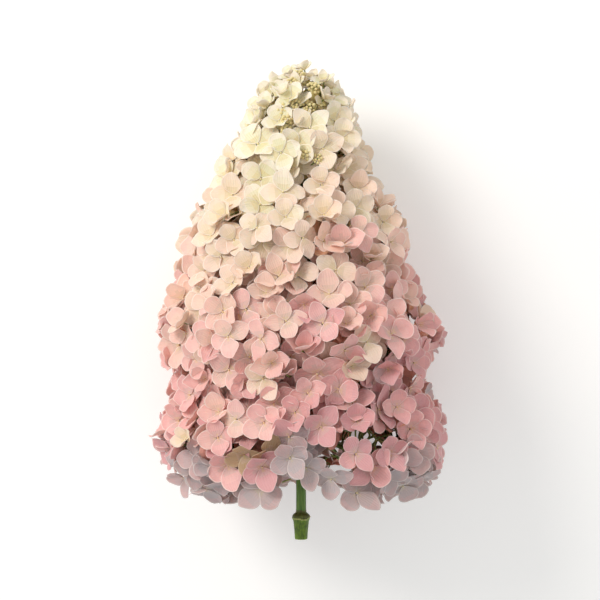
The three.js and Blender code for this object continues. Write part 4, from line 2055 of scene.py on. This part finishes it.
# Florets placed one by one: column, row, right, up, turn, reach, bloom and tint, whose tints low down and to
# the right are partly painted shade
FRONT = (
    Seen(310, 70, 0, 60, 45, 11, Bloom.YOUNG, 0),
    Seen(282, 76, -20, 50, 30, 12, Bloom.YOUNG, 0),
    Seen(291, 98, -5, 10, 40, 17, Bloom.SAUCER, 0),
    Seen(263, 97, -45, 15, 20, 17, Bloom.SAUCER, 0),
    Seen(258, 112, -40, 5, 30, 17, Bloom.OPEN, 1),
    Seen(279, 121, -20, 5, 20, 17, Bloom.SAUCER, 1),
    Seen(310, 128, 0, 8, 35, 20, Bloom.OPEN, 1),
    Seen(335, 121, 25, 5, 30, 20, Bloom.SAUCER, 1),
    Seen(346, 100, 50, 20, 10, 17, Bloom.SAUCER, 0),
    Seen(334, 88, 40, 45, 0, 14, Bloom.YOUNG, 0),
    Seen(324, 82, 10, 60, 0, 11, Bloom.YOUNG, 0),
    Seen(340, 139, 20, -5, 0, 21, Bloom.SAUCER, 2),
    Seen(323, 149, 5, 0, 20, 19, Bloom.OPEN, 3),
    Seen(298, 146, 0, 0, 45, 19, Bloom.OPEN, 1),
    Seen(281, 153, -5, 0, 15, 20, Bloom.OPEN, 1),
    Seen(261, 179, -15, 0, 45, 21, Bloom.OPEN, 1),
    Seen(258, 144, -25, 10, 30, 24, Bloom.OPEN, 1),
    Seen(243, 124, -60, 5, 10, 16, Bloom.SAUCER, 0),
    Seen(353, 113, 75, 5, 20, 16, Bloom.SAUCER, 1),
    Seen(357, 140, 60, 5, 20, 18, Bloom.SAUCER, 2),
    Seen(322, 185, 0, 10, 20, 19, Bloom.SAUCER, 3),
    Seen(283, 192, -5, 15, 10, 20, Bloom.OPEN, 3),
    Seen(286, 217, 0, 10, 20, 19, Bloom.SAUCER, 3),
    Seen(324, 215, 0, 12, 10, 21, Bloom.CUP, 3),
    Seen(356, 208, 25, 5, 15, 20, Bloom.OPEN, 2),
    Seen(288, 247, 0, 0, 45, 18, Bloom.OPEN, 4),
    Seen(303, 238, 5, -10, 10, 18, Bloom.CURLED, 4),
    Seen(342, 245, 10, 25, 5, 21, Bloom.CUP, 6),
    Seen(361, 233, 12, 0, 10, 18, Bloom.CURLED, 6),
    Seen(336, 270, 5, 5, 70, 19, Bloom.OPEN, 4),
    Seen(329, 294, 0, 10, 15, 21, Bloom.SAUCER, 6),
    Seen(279, 276, -3, 15, 30, 21, Bloom.SAUCER, 6),
    Seen(266, 293, -10, 35, 10, 18, Bloom.CUP, 5),
    Seen(304, 305, 0, 0, 5, 20, Bloom.CUP, 8),
    Seen(286, 321, 0, 0, 10, 18, Bloom.OPEN, 6),
    Seen(323, 323, 3, 0, 30, 20, Bloom.OPEN, 8),
    Seen(346, 324, 5, 5, 5, 19, Bloom.CUP, 6),
    Seen(350, 304, 8, 5, 20, 20, Bloom.SAUCER, 6),
    Seen(365, 287, 12, 5, 45, 20, Bloom.SAUCER, 6),
    Seen(348, 168, 20, -5, 20, 17, Bloom.SAUCER, 3),
    Seen(362, 157, 45, 0, 20, 19, Bloom.SAUCER, 2),
    Seen(357, 189, 28, 0, 10, 18, Bloom.CUP, 3),
    Seen(229, 178, -45, 5, 20, 20, Bloom.SAUCER, 2),
    Seen(232, 195, -20, 0, 10, 19, Bloom.SAUCER, 3),
    Seen(234, 240, -5, 10, 30, 19, Bloom.SAUCER, 4),
    Seen(217, 201, -30, 0, 60, 17, Bloom.OPEN, 3),
    Seen(224, 216, -20, 20, 20, 20, Bloom.CUP, 3),
    Seen(196, 219, -60, 5, 20, 18, Bloom.SAUCER, 4),
    Seen(211, 236, -25, 10, 20, 18, Bloom.SAUCER, 4),
    Seen(208, 254, -40, 0, 45, 18, Bloom.OPEN, 5),
    Seen(221, 257, -12, 10, 40, 19, Bloom.OPEN, 4),
    Seen(257, 228, 0, 5, 60, 18, Bloom.CURLED, 4),
    Seen(262, 243, 5, -5, 80, 21, Bloom.OPEN, 3),
    Seen(249, 268, -10, 10, 30, 20, Bloom.CUP, 4),
    Seen(232, 284, -15, 0, 20, 20, Bloom.SAUCER, 4),
    Seen(206, 291, -30, 0, 20, 20, Bloom.OPEN, 4),
    Seen(203, 272, -40, 5, 0, 17, Bloom.SAUCER, 5),
    Seen(188, 252, -75, 0, 20, 15, Bloom.SAUCER, 6),
    Seen(185, 284, -60, 0, 30, 16, Bloom.SAUCER, 7),
    Seen(183, 299, -45, 10, 30, 20, Bloom.CUP, 6),
    Seen(200, 311, -20, 0, 45, 18, Bloom.OPEN, 5),
    Seen(223, 312, -10, 5, 50, 21, Bloom.SAUCER, 6),
    Seen(246, 310, -8, 0, 20, 22, Bloom.CURLED, 7),
    Seen(228, 337, -10, 0, 20, 19, Bloom.OPEN, 7),
    Seen(204, 340, -25, 0, 30, 20, Bloom.OPEN, 7),
    Seen(209, 354, -20, 0, 10, 14, Bloom.CUP, 4),
    Seen(179, 345, -35, 0, 10, 22, Bloom.SAUCER, 7),
    Seen(168, 322, -60, 0, 40, 16, Bloom.SAUCER, 7),
    Seen(196, 359, -25, -5, 20, 18, Bloom.OPEN, 7),
    Seen(205, 379, -15, 0, 15, 18, Bloom.CUP, 8),
    Seen(229, 370, -5, 0, 45, 21, Bloom.OPEN, 7),
    Seen(246, 383, -15, 0, 30, 19, Bloom.CUP, 8),
    Seen(263, 379, 0, 0, 45, 20, Bloom.OPEN, 4),
    Seen(190, 395, -40, 0, 20, 18, Bloom.SAUCER, 8),
    Seen(182, 384, -60, 0, 10, 16, Bloom.SAUCER, 10),
    Seen(272, 363, 0, 5, 20, 20, Bloom.CUP, 7),
    Seen(286, 374, 0, 20, 30, 18, Bloom.CUP, 7),
    Seen(303, 350, 0, 35, 0, 20, Bloom.BELL, 8),
    Seen(317, 374, 0, 5, 10, 24, Bloom.OPEN, 8),
    Seen(352, 366, 5, 0, 20, 19, Bloom.CUP, 13, sunk=1),
    Seen(367, 342, 5, 0, 30, 19, Bloom.CURLED, 4),
    Seen(338, 389, 0, 5, 80, 20, Bloom.SAUCER, 9),
    Seen(308, 393, 0, 0, 30, 18, Bloom.SAUCER, 8),
    Seen(274, 404, -5, 5, 20, 21, Bloom.SAUCER, 8),
    Seen(384, 222, 30, 5, 0, 18, Bloom.SAUCER, 3),
    Seen(389, 213, 45, 5, 30, 17, Bloom.SAUCER, 13),
    Seen(398, 217, 60, 0, 10, 14, Bloom.SAUCER, 13),
    Seen(391, 242, 35, 0, 20, 17, Bloom.SAUCER, 5),
    Seen(404, 238, 70, 0, 20, 15, Bloom.SAUCER, 6),
    Seen(384, 265, 20, 0, 30, 19, Bloom.OPEN, 5),
    Seen(399, 261, 55, 0, 20, 16, Bloom.SAUCER, 6),
    Seen(371, 258, 10, 20, 10, 17, Bloom.BELL, 4),
    Seen(392, 290, 25, 5, 10, 17, Bloom.OPEN, 6),
    Seen(371, 316, 5, 5, 20, 22, Bloom.CUP, 6),
    Seen(410, 288, 40, 0, 30, 19, Bloom.SAUCER, 8),
    Seen(420, 301, 55, 0, 15, 17, Bloom.SAUCER, 9),
    Seen(404, 337, 20, 0, 20, 19, Bloom.OPEN, 7),
    Seen(420, 325, 40, 0, 10, 18, Bloom.CUP, 8),
    Seen(432, 320, 70, 0, 30, 14, Bloom.SAUCER, 10),
    Seen(417, 353, 30, 0, 45, 19, Bloom.OPEN, 8),
    Seen(414, 363, 35, -10, 5, 17, Bloom.SAUCER, 9),
    Seen(388, 369, 5, -10, 20, 22, Bloom.BELL, 9),
    Seen(410, 388, 30, 0, 20, 18, Bloom.SAUCER, 7),
    Seen(425, 397, 60, 0, 10, 15, Bloom.SAUCER, 10),
    Seen(434, 344, 65, -5, 30, 14, Bloom.SAUCER, 10),
    Seen(179, 421, -35, 0, 10, 20, Bloom.SAUCER, 8),
    Seen(186, 439, -30, 15, 30, 15, Bloom.CUP, 3),
    Seen(197, 458, -15, 0, 10, 20, Bloom.OPEN, 11),
    Seen(218, 438, -8, 0, 20, 20, Bloom.SAUCER, 8),
    Seen(228, 465, -5, -10, 25, 23, Bloom.SAUCER, 9),
    Seen(206, 490, -10, -45, 45, 19, Bloom.OPEN, 12),
    Seen(176, 478, -45, -30, 20, 18, Bloom.SAUCER, 11),
    Seen(158, 427, -70, 0, 20, 14, Bloom.SAUCER, 10),
    Seen(163, 449, -60, -10, 10, 16, Bloom.SAUCER, 11),
    Seen(264, 423, -3, 0, 30, 22, Bloom.SAUCER, 8),
    Seen(236, 419, -5, 5, 10, 17, Bloom.OPEN, 7),
    Seen(219, 412, -10, 10, 10, 19, Bloom.CUP, 7),
    # These two tan florets, sunk low down, are painted shade
    Seen(244, 455, -5, -25, 20, 19, Bloom.SAUCER, 19, sunk=7),
    Seen(268, 456, 5, -30, 60, 20, Bloom.OPEN, 19, sunk=7),
    Seen(262, 467, -3, -5, 30, 22, Bloom.SAUCER, 10),
    Seen(260, 489, 0, -5, 50, 23, Bloom.OPEN, 12),
    Seen(295, 413, 0, 10, 20, 20, Bloom.SAUCER, 9),
    Seen(289, 437, 0, -20, 45, 20, Bloom.OPEN, 11),
    Seen(290, 458, 0, -15, 30, 21, Bloom.SAUCER, 12),
    Seen(321, 427, 0, -10, 40, 21, Bloom.SAUCER, 10),
    Seen(357, 421, 10, 5, 15, 21, Bloom.CUP, 9),
    Seen(356, 454, 8, 0, 40, 19, Bloom.OPEN, 9),
    Seen(306, 468, 5, -20, 20, 20, Bloom.OPEN, 12),
    Seen(331, 479, 0, -30, 0, 18, Bloom.OPEN, 12),
    Seen(357, 493, 3, -8, 45, 23, Bloom.OPEN, 12),
    Seen(371, 468, 8, -5, 45, 21, Bloom.OPEN, 9),
    Seen(389, 453, 12, 0, 15, 20, Bloom.SAUCER, 9),
    Seen(413, 455, 18, 0, 20, 20, Bloom.SAUCER, 10),
    Seen(411, 429, 25, 0, 10, 21, Bloom.SAUCER, 8),
    Seen(426, 419, 45, 5, 20, 19, Bloom.SAUCER, 8),
    Seen(397, 407, 15, 5, 10, 19, Bloom.SAUCER, 8),
    Seen(403, 486, 15, -35, 30, 19, Bloom.OPEN, 12),
    Seen(419, 480, 30, -30, 10, 19, Bloom.OPEN, 12),
    Seen(436, 418, 70, 0, 30, 15, Bloom.SAUCER, 9),
    Seen(436, 440, 60, -5, 0, 17, Bloom.SAUCER, 9),
    Seen(433, 461, 55, -20, 20, 17, Bloom.SAUCER, 11),
)
# Where the background or a dark gap shows: column, row and half width
OPENINGS = (
    Opening(356, 435, 2),
    Opening(364, 437, 2.5),
    Opening(371, 442, 2),
    Opening(379, 445, 2),
    Opening(395, 433, 1.5),
    Opening(338, 449, 3),
    Opening(321, 456, 1.5),
    Opening(334, 468, 2),
    Opening(349, 469, 1.5),
    Opening(340, 491, 3),
    Opening(416, 379, 3),
    Opening(411, 319, 1.5),
    Opening(434, 377, 5),
)
# Layers of florets from the outside in
LAYERS = (
    Layer(pitch=16.0, depth=(5.5, 11.0), lean=34.0, seed=21, most_cuts=100, room=9.8),
    Layer(pitch=16.5, depth=(9.0, 14.0), lean=28.0, seed=24, most_cuts=110, room=5.0, deeper=0.5),
    Layer(pitch=16.0, depth=(13.5, 18.0), lean=28.0, seed=22, most_cuts=110, inner=True),
    Layer(pitch=20.0, depth=(21.0, 27.0), lean=25.0, seed=23, most_cuts=90, inner=True),
)
# Stem: radius and distance from the cut end. It swells at the old leaf joint, then tapers to its tip.
STEM_PROFILE = (
    (3.9, 0),
    (4.25, 5),
    (4.7, 9.6),
    (4.8, 11),
    (5.1, 12.2),
    (5.2, 13),
    (5.1, 14.8),
    (4.7, 15.6),
    (3.6, 16.5),
    (3.3, 17.2),
    (3.15, 19),
    (3.1, 26),
    (3.05, 48),
    (2.9, 62),
    (2.4, 110),
    (2.0, 160),
    (1.6, 205),
    (1.2, 252),
)
# One name for each tier of florets, from the base to the tip, of which only the count is used
TIER_SLOTS = (
    "florets_dusty_pink",
    "florets_pink",
    "florets_light_pink",
    "florets_blush",
    "florets_peach",
    "florets_warm_cream",
    "florets_cream",
)


def main() -> None:
    """Grows the head, dresses the frame with it and lights it."""
    logging.basicConfig(level=logging.INFO, format="%(message)s")
    cut_end = np.array(frame["record"]["mounts"][0]["pos_m"])
    lying = Lying(cut_end, math.radians(REST_TILT))
    outline = Outline(
        OUTLINE,
        notch_lift=25.0,
        notch_half_angle=math.radians(40),
        notch_from=25.0,
        notch_up_to=80.0,
    )
    view = View()
    head = Head(
        lying=lying,
        outline=outline,
        whorls=WHORLS,
        layers=LAYERS,
        kit=FloretKit(),
        inner_kit=FloretKit(across=3, along=4, border=0.0),
        stem_taper=STEM_PROFILE,
        bud_spots=BUD_SPOTS,
        front=FRONT,
        openings=OPENINGS,
        view=view,
    )
    head.grow()
    dressing = Dressing(head, Palette(TINTS).build(), TIER_SLOTS)
    dressing.florets()
    dressing.buds()
    dressing.stalks()
    dressing.branches()
    dressing.stem(STEM_PROFILE)
    Studio(lying, view, KEY_LIGHT).build()


if __name__ == "__main__":
    main()
